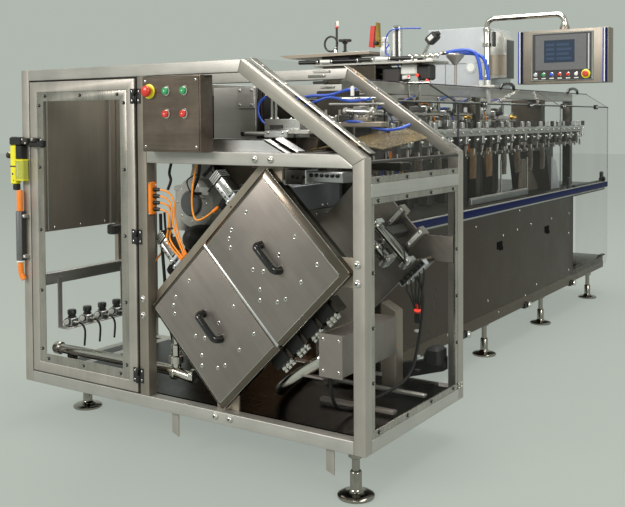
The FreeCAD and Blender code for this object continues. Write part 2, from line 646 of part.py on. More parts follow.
def bow_handle(name, down):
    """Moulded bow handle: two feet and a straight grip between slanted legs."""
    end = "handle_span"
    body = prism(name, "front", [
        ("0", "0"), ("handle_bar * 1.6", "0"), ("handle_bar * 2.4", "handle_out - handle_bar"),
        (f"{end} - handle_bar * 2.4", "handle_out - handle_bar"),
        (f"{end} - handle_bar * 1.6", "0"), (end, "0"),
        (f"{end} - handle_bar * 1.2", "handle_out"), ("handle_bar * 1.2", "handle_out")],
        "0", "handle_bar")
    return diamond(body, "handle_along", f"{down} + handle_bar / 2", "0")


def drive_unit():
    """Diamond drive unit behind two bevelled covers with bow handles."""
    lower_down = "upper_edge + cover_space"
    node("upper_cover", cover("UpperCover", "0", "upper_edge"))
    node("lower_cover", cover("LowerCover", lower_down, "lower_edge"))
    node("cover_handles", bow_handle("UpperHandle", "upper_edge * 0.53"),
         bow_handle("LowerHandle", f"{lower_down} + lower_edge * 0.535"))
    plate = diamond_box("MountPlate", "-mount_wing", "mount_inset", "tube",
                        "cover_long - mount_inset + mount_wing", f"{ACROSS} + mount_foot",
                        "mount_thick")
    node("drive_housing", diamond_box(
        "DriveHousing", "housing_inset", "housing_inset", "tube + mount_thick",
        "cover_long - 2 * housing_inset", f"{ACROSS} - 2 * housing_inset", "housing_deep"))
    node("drive_mount_plate", join("DriveMountPlate", [plate] + corner_tabs()))


RAIL_X = f"({RIGHT_BEAM} + upper_tube + rail_reach)"
LOW_X = f"({UNIT_X} + (cover_long - {ACROSS}) * sqrt(0.5))"
LOW_Z = f"({UNIT_Z} - (cover_long + {ACROSS}) * sqrt(0.5))"
RIGHT_X = f"({UNIT_X} + cover_long * sqrt(0.5))"
RIGHT_Z = f"({UNIT_Z} - cover_long * sqrt(0.5))"
LEFT_X = f"({UNIT_X} - {ACROSS} * sqrt(0.5))"
LEFT_Z = f"({UNIT_Z} - {ACROSS} * sqrt(0.5))"


def corner_tabs():
    """Four tabs that carry the drive unit behind the frame's tubes."""
    half = "mount_tab / 2"
    return [
        box("TopTab", f"{UNIT_X} - {half}", "tube", f"{UNIT_Z} - mount_tab", "mount_tab",
            "mount_thick", f"mid_rail_z + tab_lap - {UNIT_Z} + mount_tab"),
        box("LowTab", f"{LOW_X} - {half}", "tube", "frame_floor + tube - tab_lap", "mount_tab",
            "mount_thick", f"{LOW_Z} + mount_tab - frame_floor - tube + tab_lap"),
        box("RightTab", f"{RIGHT_X} - mount_tab", "tube", f"{RIGHT_Z} - {half}",
            f"{POST_INNER} + tab_lap - {RIGHT_X} + mount_tab", "mount_thick", "mount_tab"),
        box("LeftTab", f"{POST_RIGHT} - tab_lap", "tube", f"{LEFT_Z} - {half}",
            f"{LEFT_X} + mount_tab - {POST_RIGHT} + tab_lap", "mount_thick", "mount_tab")]


def rear_drive_plate():
    """Plate like the drive unit's, inside the back frame, with its two bars."""
    start = f"{BACK} - rear_plate_thick"
    plate = diamond_box("RearPlate", "mount_inset", "mount_inset", start,
                        "cover_long - 2 * mount_inset", f"{ACROSS} - 2 * mount_inset",
                        "rear_plate_thick")
    tabs = [
        box("RearRightTab", f"{RIGHT_X} - mount_tab", start, f"{RIGHT_Z} - mount_tab / 2",
            f"{POST_INNER} + tab_lap - {RIGHT_X} + mount_tab", "rear_plate_thick", "mount_tab"),
        box("RearLowTab", f"{LOW_X} - mount_tab / 2", start, "frame_floor + tube - tab_lap",
            "mount_tab", "rear_plate_thick", f"{LOW_Z} + mount_tab - frame_floor - tube + tab_lap")]
    bars = []
    for name, along in (("First", "rear_bar_first"), ("Second", "rear_bar_second")):
        bars.append(diamond_box(name + "RearBar", along, "-rear_bar_out", f"{start} - rear_bar_deep",
                                "rear_bar_wide", "rear_bar_long", "rear_bar_deep"))
    valve_along = "cover_long - mount_inset + valve_out"
    valves = [
        diamond_box("ValveBar", valve_along, "valve_down", "twin_y + 86", "valve_side",
                    "valve_long", f"{start} - twin_y - 86"),
        diamond_box("ValveFoot", "cover_long - mount_inset * 2", "valve_down + valve_long / 3",
                    f"{start} - valve_side", "mount_inset + valve_out + valve_side",
                    "valve_long / 3", "valve_side")]
    node("rear_drive_plate", join("RearDrivePlate", [plate] + tabs + bars + valves))


def slide_cylinders():
    """Slide cylinders at the drive unit's upper left edge and the twin ones behind."""
    pieces = []
    for name, down, extra in (("Upper", "slide_upper", "0"), ("Lower", "slide_lower", "29")):
        reach = f"(slide_reach + {extra})"
        start = "tube + mount_thick"
        pieces.append(join(name + "Slide", [
            diamond_box(name + "Profile", f"-{reach} + slide_head", down, start,
                        f"{reach} - slide_head + housing_inset", "slide_tall", "slide_deep"),
            diamond_box(name + "Head", f"-{reach}", f"{down} - 4", start,
                        "slide_head", "slide_tall + 8", "slide_deep + 3"),
            diamond_box(name + "Cap", "-mount_wing - slide_tall", f"{down} + slide_tall",
                        start, "slide_tall + 5", "slide_tall", "slide_deep * 0.8")]))
    for name, along, down, long in (
            ("First", "twin_along", "twin_down", "twin_long"),
            ("Second", "twin_along + 63", "twin_down + 67", "twin_long * 0.45")):
        tool = doc.addObject("Part::Cylinder", name + "Twin")
        tie(tool, "Radius", "twin_radius")
        tie(tool, "Height", long)
        x = f"{UNIT_X} + ({along} - ({down})) * sqrt(0.5)"
        z = f"{UNIT_Z} - ({along} + {down}) * sqrt(0.5)"
        place(tool, x, "twin_y", z, Rotation(Vector(0, 1, 0), 135))
        bracket = diamond_box(name + "TwinBracket", f"{along} + twin_block", f"{down} - twin_block / 2",
                              "twin_y", "twin_block", "twin_block",
                              f"{BACK} - rear_plate_thick - twin_y")
        pieces.append(join(name + "TwinCylinder", [tool, bracket]))
    node("slide_cylinders", *pieces)


def inner_pieces():
    """Tray, side panel, regulators, pipes, column and end box inside the frame."""
    start = "tube + mount_thick"
    run = "frame_depth - 2 * tube - mount_thick - rear_plate_thick"
    node("floor_tray", box("FloorTrayLeft", "tube", start, f"{TRAY} - tray_thick",
                           "foot_beam_in - tube", run, "tray_thick"),
         box("FloorTrayRight", "foot_beam_in + tube", start, f"{TRAY} - tray_thick",
             "frame_width - 2 * tube - foot_beam_in", run, "tray_thick"))
    node("left_side_panel", join("LeftSidePanel", [
        box("SidePanelPlate", "tube / 2", "panel_plate_y", "panel_plate_low", "panel_plate",
            "inner_post_y - panel_plate_y", "frame_top - tube - panel_plate_low"),
        box("InnerPostHigh", "tube / 2", "inner_post_y", "left_bar_z + tube", "tube / 2",
            "inner_post", "frame_top - left_bar_z - 2 * tube")]))
    regulators()
    pipes()
    stands()


def regulators():
    """Row of air regulators on a shelf that hangs from the left bar."""
    low = "shelf_z - shelf_thick"
    pieces = [box("RegulatorShelf", "tube", "shelf_y", low, "shelf_wide", "shelf_long",
                  "shelf_thick")]
    for name, y in (("Front", "shelf_y"), ("Back", "shelf_y + shelf_long - 26")):
        pieces.append(box(name + "Hanger", "tube", y, low, "shelf_thick", "26",
                          f"left_bar_z + tube * 0.6 - {low}"))
    for index in range(4):
        y = f"(shelf_y + 54 + {index} * regulator_pitch)"
        pieces.append(box(f"RegulatorBody{index}", "tube + 18", f"{y} - regulator_side / 2",
                          "shelf_z", "regulator_side", "regulator_side", "regulator_side"))
        pieces.append(box(f"RegulatorCap{index}", "tube + 18 + (regulator_side - regulator_cap) / 2",
                          f"{y} - regulator_cap / 2", "shelf_z + regulator_side",
                          "regulator_cap", "regulator_cap", "regulator_cap * 0.8"))
    node("regulator_row", join("RegulatorRow", pieces))


def pipes():
    """Polished pipes: one level behind the door, one rising under the drive unit."""
    level = "low_pipe_z"
    low_pipe = join("LevelPipe", [
        rod("LevelRun", "x", "tube + stand_side", "low_pipe_y", level, "pipe_radius",
            f"{POST_X} - low_pipe_in - tube - stand_side"),
        box("LevelStand", "foot_beam_in + tube + 10", "low_pipe_y - stand_side / 2", TRAY,
            "stand_side", "stand_side", f"{level} - {TRAY}")])
    rise = bent_rod("RisingPipe", [
        (f"{END_BOX_X} - rise_run", f"{TRAY} + pipe_radius"),
        (f"{END_BOX_X} - rise_run / 2", "end_box_low - rise_run * 0.224"),
        (f"{END_BOX_X} - pipe_radius * 0.6", "end_box_low + end_box_tall / 3")],
        "rise_pipe_y", "pipe_radius")
    node("polished_pipes", low_pipe, rise)


def bent_rod(name, points, y, radius):
    """Round bar in an upright plane through points given by x and z."""
    pieces = []
    spots = [(float(sheet_value(x)), float(sheet_value(z))) for x, z in points]
    for index, (start, end) in enumerate(zip(spots, spots[1:])):
        tool = doc.addObject("Part::Cylinder", f"{name}{index}")
        run_x = end[0] - start[0]
        run_z = end[1] - start[1]
        tie(tool, "Radius", radius)
        text_x = f"(({points[index + 1][0]}) - ({points[index][0]}))"
        text_z = f"(({points[index + 1][1]}) - ({points[index][1]}))"
        tie(tool, "Height", f"sqrt({text_x}^2 + {text_z}^2)")
        turn = Rotation(Vector(0, 0, 1), Vector(run_x, 0, run_z))
        pieces.append(place(tool, points[index][0], y, points[index][1], turn))
    return join(name, pieces)


def stands():
    """Square column and the end box of the beam on its stand."""
    x = COLUMN_X
    column = prism("SquareColumn", "front", [
        (x, TRAY), (f"{x} + column_side", TRAY),
        (f"{x} + column_side", "column_top - column_side / 2"), (x, "column_top")],
        "column_y", "column_side")
    beam = join("BeamEnd", [
        box("BeamEndBox", END_BOX_X, "rise_pipe_y - pipe_radius - 8", "end_box_low",
            "end_box_wide", "end_box_deep", "end_box_tall"),
        box("BeamStand", f"{END_BOX_X} + end_box_wide / 2", "rise_pipe_y + end_box_deep / 2", TRAY,
            "stand_side", "stand_side", f"end_box_low - {TRAY}")])
    node("inner_stands", column, beam)


def lead_block():
    """Lead block on the centre post with four plugs."""
    x = POST_RIGHT
    pieces = [box("LeadBlock", x, "4", "block_z", "block_thick", "tube - 10", "block_tall")]
    for index in range(4):
        pieces.append(box(f"LeadPlug{index}", f"{x} + block_thick", "tube / 2 - plug_side / 2",
                          f"block_z + block_tall * (0.168 + {index} * 0.2) - plug_side / 2",
                          "plug_long", "plug_side", "plug_side"))
    node("lead_block", join("LeadBlockBody", pieces))


def transfer_slide():
    """Transfer bed behind the mid rail, with its channel, upright plate and blocks."""
    low = f"({RAIL_TOP} - bed_thick)"
    channel = prism("SlideChannel", "front", [
        (POST_RIGHT, f"{RAIL_TOP} + channel_rise - channel_tall"),
        ("channel_foot", f"{RAIL_TOP} + channel_rise - channel_tall"), ("channel_foot", RAIL_TOP),
        ("channel_long", f"{RAIL_TOP} + channel_rise"), (POST_RIGHT, f"{RAIL_TOP} + channel_rise")],
        "tube + mount_thick", "tube - mount_thick")
    bed = box("TransferBed", "bed_left", "tube * 2", low, "bed_right - bed_left",
              "bed_back - 2 * tube", "bed_thick")
    plate = box("UprightPlate", "upright_x", "upright_y", RAIL_TOP, "upright_wide", "12",
                f"upright_top - {RAIL_TOP}")
    bolts = box("BoltPlate", "upright_x + upright_wide - bolt_plate", "upright_y - 8",
                "upright_top - bolt_plate", "bolt_plate", "8", "bolt_plate")
    x = "upright_x + upright_wide"
    blocks = [
        box("SlideBlock", f"{x} + 88", "upright_y - 60", f"{RAIL_TOP} + 83", "175", "70", "46"),
        box("SlideBlockFoot", f"{x} + 118", "upright_y - 50", RAIL_TOP, "90", "50", "83"),
        box("SlideUpright", f"{x} + 97", "upright_y - 50", f"{RAIL_TOP} + 129", "20", "20",
            "124")]
    node("transfer_slide", join("TransferSlide", [channel, bed, plate, bolts] + blocks))


def picking_arm():
    """Rounded housing of the picking arm under the bed, with its motor."""
    neck = box("ArmNeck", "robot_x - robot_neck / 2", "robot_y + 20", "robot_z",
               "robot_neck", "robot_neck", f"{RAIL_TOP} - bed_thick - robot_z")
    housing = rod("ArmHousing", "y", "robot_x", "robot_y", "robot_z", "robot_radius", "robot_deep")
    motor = rod("ArmMotor", "y", "robot_x + motor_across", "robot_y - motor_out",
                "robot_z - motor_drop", "motor_radius", "motor_out + robot_deep * 0.8")
    node("picking_arm", join("PickingArm", [neck, housing, motor]))


def machine_base():
    """Closed base cabinet, its low end step, the deck and the blue rail."""
    wide = "base_right - base_left"
    node("base_cabinet", join("MachineBase", [
        box("BaseCabinet", "base_left", "frame_depth", "base_floor", wide,
            "base_back - frame_depth", "base_top - base_floor"),
        box("BaseEndStep", "base_left", "base_back", "base_floor", wide,
            "step_back - base_back", "step_top - base_floor"),
        box("MachineDeck", "base_left", "frame_depth", "base_top", wide,
            "step_back - frame_depth", "deck_thick")]))
    node("blue_side_rails", box("RightBlueRail", "base_right", "frame_depth", "base_top",
                                "rail_out", "step_back - frame_depth", "rail_tall"),
         box("LeftBlueRail", "base_left - rail_out", "frame_depth", "base_top",
             "rail_out", "step_back - frame_depth", "rail_tall"))


def levelling_foot(name, x, y, under, rim="0"):
    """Coned pad and stem of one levelling foot, the pad with an upright rim if asked."""
    stem = rod(name + "Stem", "z", x, y, rim, "foot_sleeve", f"{under} - {rim}")
    cone = doc.addObject("Part::Cone", name + "Cone")
    tie(cone, "Radius1", "foot_radius")
    tie(cone, "Radius2", "foot_sleeve")
    tie(cone, "Height", f"foot_pad + 4 - {rim}")
    pieces = [place(cone, x, y, rim), stem]
    if rim != "0":
        pieces.append(rod(name + "Rim", "z", x, y, "0", "foot_radius", rim))
    return join(name, pieces)


def feet():
    """Levelling feet under the frame and the base."""
    node("front_feet",
         levelling_foot("RightFrontFoot", "frame_width - front_foot_in", "front_foot_right_y",
                        "frame_floor", "foot_pad * 0.35"),
         levelling_foot("LeftFrontFoot", "front_foot_left", "front_foot_left_y", "frame_floor",
                        "foot_pad * 0.35"))
    pairs = []
    for name, y in (("First", "body_foot_first"), ("Second", "body_foot_second"),
                    ("Third", "body_foot_third")):
        pairs.append(levelling_foot(name + "RightFoot", "base_right - body_foot_in", y,
                                    "base_floor"))
        pairs.append(levelling_foot(name + "LeftFoot", "base_left + body_foot_in", y,
                                    "base_floor"))
    node("body_feet", *pairs)


def guard(name, start, end):
    """Clear guard: an upright side that turns in towards the top."""
    outer = "(base_right + rail_out)"
    return prism(name, "front", [
        (outer, "base_top + rail_tall"), (outer, "guard_fold"), ("guard_top_x", "guard_top"),
        ("guard_top_x", "guard_top - guard_thick"),
        (f"{outer} - guard_thick", "guard_fold - guard_thick / 2"),
        (f"{outer} - guard_thick", "base_top + rail_tall")], start, f"({end}) - ({start})")


def guards():
    """Clear guards along the right side and the windows of the infeed frame."""
    node("side_guards", guard("InfeedSideGuard", "frame_depth + guard_space",
                              "guard_first - guard_space"),
         guard("FrontSideGuard", "guard_first", "guard_second"),
         guard("RearSideGuard", "guard_second + guard_space", "step_back"))
    node("sloped_window", prism("SlopedWindow", "front", [
        (SLOPE_TOP, "frame_top"), ("frame_width", "shoulder"),
        (f"frame_width + window_thick * {SLOPE}", "shoulder + window_thick"),
        (f"{SLOPE_TOP} + window_thick * {SLOPE}", "frame_top + window_thick")],
        "tube / 2", "frame_depth - tube"))
    run = "frame_depth - 2 * tube"
    node("side_windows",
         box("UpperSideWindow", "frame_width - strip_thick - 8", "tube", "side_bar_z + tube",
             "window_thick", run, "shoulder - side_bar_z - tube - 12"),
         box("LowerSideWindow", "frame_width - strip_thick - 8", "tube", "frame_floor + tube",
             "window_thick", run, "side_bar_z - frame_floor - tube"))


def upper_frame():
    """Posts, beams and cross beams over the deck, and the gripper rail on the posts."""
    posts = []
    tall = f"{BEAM_LOW} - {DECK}"
    spots = ("frame_depth + upper_first", "upper_second", "upper_third")
    for side, x in (("Left", LEFT_BEAM), ("Right", RIGHT_BEAM)):
        for index, y in enumerate(spots):
            posts.append(box(f"{side}UpperPost{index}", x, y, DECK, "upper_tube", "upper_tube",
                             tall))
    node("upper_posts", *posts)
    start = "frame_depth + upper_first"
    long = f"upper_third + upper_tube - frame_depth - upper_first"
    node("upper_beams", *[box(f"{side}UpperBeam", x, start, BEAM_LOW, "upper_tube", long,
                              "upper_tube") for side, x in (("Left", LEFT_BEAM),
                                                            ("Right", RIGHT_BEAM))])
    inner = f"({LEFT_BEAM} + upper_tube)"
    crosses = []
    for index, y in enumerate(("cross_front", "cross_next", "cabinet_front + upper_tube",
                               "upper_third")):
        crosses.append(box(f"CrossBeam{index}", inner, y, BEAM_LOW,
                           f"{RIGHT_BEAM} - {inner}", "upper_tube", "upper_tube"))
    node("upper_cross_beams", *crosses)
    gripper_rail()


def gripper_rail():
    """Long rail with its row of grippers, held off the right posts."""
    rail_x = RAIL_X
    start = "frame_depth + upper_first"
    pieces = [box("GripperRail", rail_x, start, "rail_z", "rail_bar",
                  "upper_third + upper_tube - frame_depth - upper_first", "rail_deep")]
    for index, y in enumerate((start, "upper_second", "upper_third")):
        pieces.append(box(f"RailBracket{index}", f"{RIGHT_BEAM} + upper_tube", y,
                          "rail_z + rail_deep / 4", "rail_reach", "upper_tube", "rail_deep / 2"))
    for index in range(14):
        pieces.append(box(f"Gripper{index}", rail_x,
                          f"frame_depth + 130 + {index} * gripper_pitch",
                          "rail_z - gripper_drop", "rail_bar", "gripper_wide", "gripper_drop"))
    node("gripper_rail", join("GripperRailBody", pieces))


def line_machinery():
    """Back wall and housings of the line, its stations, guide rods and hanging pouches."""
    first = "(frame_depth + line_in)"
    node("line_housing", join("LineHousing", [
        box("LineWall", f"{LEFT_BEAM} - line_sheet", first, DECK, "line_sheet", "line_long",
            "line_top"),
        box("LineFillFirst", LEFT_BEAM, first, DECK, "upper_tube", f"upper_second - {first}",
            "line_top * 0.7"),
        box("LineFillSecond", LEFT_BEAM, "upper_second + upper_tube", DECK, "upper_tube",
            f"{first} + line_long - upper_second - upper_tube", "line_top * 0.7"),
        box("LineHousingHigh", f"{LEFT_BEAM} + upper_tube", first, DECK, "housing_wide",
            "line_long", "line_top * 0.7"),
        box("LineHousingLow", f"{LEFT_BEAM} + upper_tube + housing_wide", first, DECK,
            "housing_wide * 1.7", "line_long", "line_top * 0.42")]))
    pieces = []
    for index in range(9):
        y = f"(station_first + {index} * station_pitch)"
        high = f"({DECK} + station_tall - {index % 3} * 24)"
        pieces.append(join(f"Station{index}", [
            box(f"StationColumn{index}", "station_x", y, DECK, "station_wide", "station_wide",
                f"{high} - {DECK}"),
            box(f"StationArm{index}", "station_x + station_wide", f"{y} + 6", f"{high} - 80",
                "station_arm", "station_wide - 16", "station_wide / 2"),
            box(f"StationHead{index}", "station_x + station_wide", f"{y} - 20",
                f"{high} - 140", "station_arm - 30", "station_wide + 30", "60")]))
    node("line_stations", *pieces)
    bags = []
    for index in range(11):
        y = f"frame_depth + 108 + {index} * gripper_pitch"
        bags.append(box(f"Pouch{index}", f"{RAIL_X} + rail_bar / 3", y,
                        "rail_z - gripper_drop - pouch_tall", "rail_bar / 3", "pouch_wide",
                        "pouch_tall"))
    node("pouches", *bags)


def end_guard():
    """Clear guard under the rail at the machine's end."""
    outer = "(base_right + rail_out)"
    node("end_guard", box("LowEndGuard", f"{outer} - guard_thick", "base_back + 10", "end_guard_low",
                          "guard_thick", "step_back - base_back - 10",
                          "base_top - end_guard_low"))


def dosing_head():
    """Dosing plate, lid, valve, air cylinder and sensor on the front cross beams."""
    depth = "cross_next + upper_tube - cross_front"
    top = "(dosing_z + dosing_thick)"
    middle = "(cross_front + cross_next + upper_tube) / 2"
    arm = prism("SensorArm", "front", [
        ("dosing_right - 120", top), ("dosing_right - 90", top),
        ("eye_x + eye_side / 2", f"{top} + eye_rise"), ("eye_x", f"{top} + eye_rise")],
        middle, "12")
    node("dosing_head", join("DosingHead", [
        box("DosingPedestal", "dosing_left + 60", "cross_front", "guard_top",
            f"{RIGHT_BEAM} - dosing_left - 120", depth, "dosing_z - guard_top"),
        box("DosingPlate", "dosing_left", "cross_front", "dosing_z",
            "dosing_right - dosing_left", depth, "dosing_thick"),
        box("LidBlock", "lid_left + 260", "cross_front + 30", top, "180", f"{depth} - 60",
            "lid_rise"),
        prism("Lid", "front", [
            ("lid_left", f"{top} + lid_rise + dosing_thick"),
            ("lid_left + 60", f"{top} + lid_rise"), ("lid_right", f"{top} + lid_rise"),
            ("lid_right", f"{top} + lid_rise + dosing_thick")], "cross_front", depth),
        rod("BottleValve", "z", "valve_x", middle, top, "valve_radius", "valve_tall"),
        rod("AirCylinder", "z", "air_x", middle, top, "air_radius", "air_tall"), arm,
        box("Sensor", "eye_x - eye_side / 4", f"{middle} - eye_side / 4", f"{top} + eye_rise",
            "eye_side", "eye_side", "eye_side * 0.8")]))


def hose_manifold():
    """Funnel on its post and two sleeves that the blue hoses end in."""
    plate = box("ManifoldPlate", "manifold_x - 30", "manifold_y - 20", "guard_top",
                "sleeve_second - manifold_x + 60", "70", "15")
    x = "manifold_x"
    funnel = prism("Funnel", "front", [
        (f"{x} - 10", "guard_top + 15"), (f"{x} + 10", "guard_top + 15"),
        (f"{x} + 10", "manifold_top - 68"), (f"{x} + 47", "manifold_top - 26"),
        (f"{x} + 47", "manifold_top - 12"), (f"{x} - 64", "manifold_top"),
        (f"{x} - 64", "manifold_top - 16"), (f"{x} - 10", "manifold_top - 68")],
        "manifold_y - 20", "70")
    tall = "sleeve_top - guard_top - 15"
    pieces = [plate, funnel]
    for name, x, y in (("First", "sleeve_first", "manifold_y"),
                       ("Second", "sleeve_second", "manifold_y + hose_space")):
        pieces.append(rod(name + "Sleeve", "z", x, y, "guard_top + 15", "hose_radius + 2", tall))
    node("hose_manifold", join("HoseManifold", pieces))


def leads_and_hoses():
    """Orange leads at the drive unit, and blue hoses on top and behind the mid rail."""
    post = sheet_value(POST_RIGHT)
    top_x = sheet_value(UNIT_X)
    top_z = sheet_value(UNIT_Z)
    leads = []
    for index in range(4):
        plug_z = sheet_value(f"block_z + block_tall * (0.168 + {index} * 0.2)")
        pair = 18 if index > 1 else 0
        back = 10 * (index % 2)
        down = (580 - 10 * index) * math.sqrt(0.5)
        middle = [(post + 81 + 7 * index + pair / 3, 41 + back, 920)]
        if not pair:
            middle.append((post + 63 + 6 * index, 41 + back, 862 + 8 * index))
        leads.append(cord(f"OrangeLead{index + 1}", [
            (post + 52, 25, plug_z), (post + 97 + 5 * index + pair / 3, 31 + back, plug_z - 3)]
            + middle + [(top_x - 46.9 - down, 55, top_z + 46.9 - down)], "lead_radius"))
    leads.append(cord("OrangeLoop", [
        (post + 202, 84, 1196), (post + 179, 78, 1100), (post + 180, 76, 985),
        (post + 219, 74, 948), (top_x - 277, 74, top_z - 135.5)], "lead_radius"))
    leads.append(cord("LowLoop", [
        (post + 23, 84, 831.5), (post - 38, 78, 771), (post - 71, 72, 705), (post - 8, 55, 653.6)],
        "lead_radius"))
    node("orange_leads", *leads)
    funnel, first, second = (sheet_value(name) for name in ("manifold_x", "sleeve_first",
                                                            "sleeve_second"))
    hose_y, space, rim, end = (sheet_value(name) for name in ("manifold_y", "hose_space",
                                                              "manifold_top", "sleeve_top"))
    node("blue_hoses",
         cord("BlueLoop", [(1222.4, 260, 1471), (1172, 258, 1455), (1171, 256, 1378),
                           (1212.4, 256, 1353)], "loop_radius"),
         cord("BlueHose1", [
             (funnel - 59, hose_y, rim + 11.8), (funnel + 71, hose_y, rim + 33),
             (first - 6, hose_y, rim - 15), (first, hose_y, end + 0.6)], "hose_radius"),
         cord("BlueHose2", [
             (funnel + 13, hose_y + space, rim + 4), (funnel + 121, hose_y + space, rim + 5),
             (second - 7, hose_y + space, rim - 45), (second, hose_y + space, end + 0.8)],
              "hose_radius"))


def black_leads():
    """Harness from the valve bar into the beam's end box, and the picking arm's cable."""
    out = sheet_value("cover_long - mount_inset + valve_out + valve_side")
    down = sheet_value("valve_down + valve_long / 2")
    start_x = sheet_value(UNIT_X) + (out - down) * math.sqrt(0.5)
    start_z = sheet_value(UNIT_Z) - (out + down) * math.sqrt(0.5)
    box_x = sheet_value(END_BOX_X)
    tray = sheet_value(TRAY)
    under = sheet_value("end_box_low")
    robot = [sheet_value(name) for name in ("robot_x", "robot_y", "robot_z")]
    bed = sheet_value(f"{RAIL_TOP} - bed_thick")
    node("black_leads",
         cord("ValveHarness", [
             (start_x, 700, start_z), (start_x + 36, 700, start_z - 36),
             (start_x + 40, 698, start_z - 137), (start_x + 22, 690, start_z - 290),
             (start_x + 2, 650, start_z - 437), (box_x + 28, 490, tray + 18),
             (box_x + 17, 355, tray + 15), (box_x + 12, 235, tray + 19),
             (box_x + 12, 112, tray + 73), (box_x + 12, 112, under)], "harness_radius"),
         cord("ArmCable", [
             (robot[0] + 165, 198, bed), (robot[0] + 165, 198, bed - 85),
             (robot[0] + 120, 205, bed - 160), (robot[0] + 60, 254, bed - 188),
             (robot[0] + 60, robot[1], bed - 188)], "cable_radius"))


def cabinet():
    """Rear cabinet and the narrow box beside the pendant post."""
    wide = "side_box_wide"
    x = "cabinet_right"
    node("rear_cabinet", join("CabinetAndBox", [
        box("RearCabinet", "cabinet_left", "cabinet_front", "guard_top",
            "cabinet_right - cabinet_left", "cabinet_deep", "cabinet_top - guard_top"),
        prism("ChamferedBox", "front", [
            (x, "side_box_low"), (f"{x} + {wide}", "side_box_low"),
            (f"{x} + {wide}", "side_box_top - side_box_wide * 0.5"),
            (f"{x} + {wide} * 0.6", "side_box_top"), (x, "side_box_top")],
            "cabinet_front + 60", "side_box_deep")]))


def pendant():
    """Swing arm and operator panel."""
    node("pendant_post", rod("PendantPole", "z", "pole_x", "pole_y", DECK,
                             "pole_radius", f"{POLE_TOP} - {DECK}"))
    arm_low = f"{POLE_TOP} + gap"
    drop = f"{PANEL_TOP} + collar_tall + gap"
    path = doc.addObject("Part::Feature", "ArmPipe")
    radius = float(sheet_value("arm_radius"))
    bend = float(sheet_value("arm_bend"))
    rise = float(sheet_value(f"arm_z - ({arm_low})"))
    reach = float(sheet_value("panel_x - pole_x"))
    fall = float(sheet_value(f"arm_z - ({drop})"))
    points = [Vector(0, 0, 0), Vector(0, 0, rise), Vector(reach, 0, rise),
              Vector(reach, 0, rise - fall)]
    path.Shape = bent_pipe(points, bend, Part.Wire([circle_at(points, radius)]))
    place(path, "pole_x", "pole_y", arm_low)
    node("pendant_arm", path)
    front = "pole_y - panel_deep / 2"
    left = "panel_x - panel_wide / 2"
    node("operator_panel", join("OperatorPanel", [
        box("PanelCase", left, front, PANEL_LOW, "panel_wide", "panel_deep", "panel_tall"),
        rod("PanelCollar", "z", "panel_x", "pole_y", PANEL_TOP, "collar_radius",
            "collar_tall")]))
    fittings = [box("ScreenBezel", "panel_x - bezel_wide / 2", f"{front} - bezel_out",
                    f"{PANEL_LOW} + (panel_tall - bezel_tall) / 2", "bezel_wide", "bezel_out",
                    "bezel_tall")]
    for name, x in (("Left", f"{left} + 6"), ("Right", f"{left} + panel_wide - panel_end - 6")):
        fittings.append(box(name + "PanelEnd", x, f"{front} - panel_end_out", f"{PANEL_LOW} + 4",
                            "panel_end", "panel_end_out", "panel_tall - 8"))
    node("panel_fittings", *fittings)


def circle_at(points, radius):
    """Circle round the start of a route, square to its first run."""
    return Part.Circle(points[0], points[1] - points[0], radius).toShape()


def flat_sides(points, radius, count):
    """Outline of a few flat sides round the start of a route, as large as the round section."""
    first = (points[1] - points[0]).normalize()
    across = first.cross(Vector(0.31, 0.84, 0.44)).normalize()
    over = first.cross(across)
    reach = radius * math.sqrt(2 * math.pi / (count * math.sin(2 * math.pi / count)))
    corners = []
    for index in range(count):
        angle = 2 * math.pi * index / count
        corners.append(points[0] + across * (reach * math.cos(angle))
                       + over * (reach * math.sin(angle)))
    return Part.makePolygon(corners + corners[:1])


def bent_pipe(points, bend, ring):
    """Bar along straight runs joined by arcs; bend is one radius or one per corner."""
    edges = []
    last = points[0]
    corners = list(zip(points, points[1:], points[2:]))
    bends = bend if isinstance(bend, list) else [bend] * len(corners)
    for (before, corner, after), radius in zip(corners, bends):
        to_corner = (corner - before).normalize()
        from_corner = (after - corner).normalize()
        half = to_corner.getAngle(from_corner) / 2
        setback = radius * math.tan(half)
        arc_start = corner - to_corner * setback
        arc_end = corner + from_corner * setback
        inward = (from_corner - to_corner).normalize()
        middle = corner + inward * (radius / math.cos(half) - radius)
        edges.append(Part.LineSegment(last, arc_start).toShape())
        edges.append(Part.Arc(arc_start, middle, arc_end).toShape())
        last = arc_end
    edges.append(Part.LineSegment(last, points[-1]).toShape())
    return Part.Wire(edges).makePipeShell([ring], True, False)


def route_bends(points):
    """Largest arc that each corner of a free route has room for."""
    bends = []
    for before, corner, after in zip(points, points[1:], points[2:]):
        shorter = min((corner - before).Length, (after - corner).Length)
        half = (corner - before).getAngle(after - corner) / 2
        bends.append(0.45 * shorter / math.tan(half))
    return bends


def route_length(points, bends):
    """Length of a route with its arcs."""
    total = sum((end - start).Length for start, end in zip(points, points[1:]))
    corners = zip(points, points[1:], points[2:])
    for (before, corner, after), bend in zip(corners, bends):
        half = (corner - before).getAngle(after - corner) / 2
        total -= 2 * bend * (math.tan(half) - half)
    return total


def cord(name, spots, radius_name):
    """Lead or hose along a route of points, with its length and arcs printed."""
    radius = float(sheet_value(radius_name))
    points = [Vector(*spot) for spot in spots]
    bends = route_bends(points)
    item = doc.addObject("Part::Feature", name)
    item.Shape = bent_pipe(points, bends, flat_sides(points, radius, 6))
    length = route_length(points, bends)
    volume = item.Shape.Volume
    print(f"{name}: length {length:.0f}, volume share {volume / (math.pi * radius**2 * length):.3f},"
          f" radii {[round(bend) for bend in bends]}, diameter {2 * radius:g}")
    return place(item, "0", "0", "0")


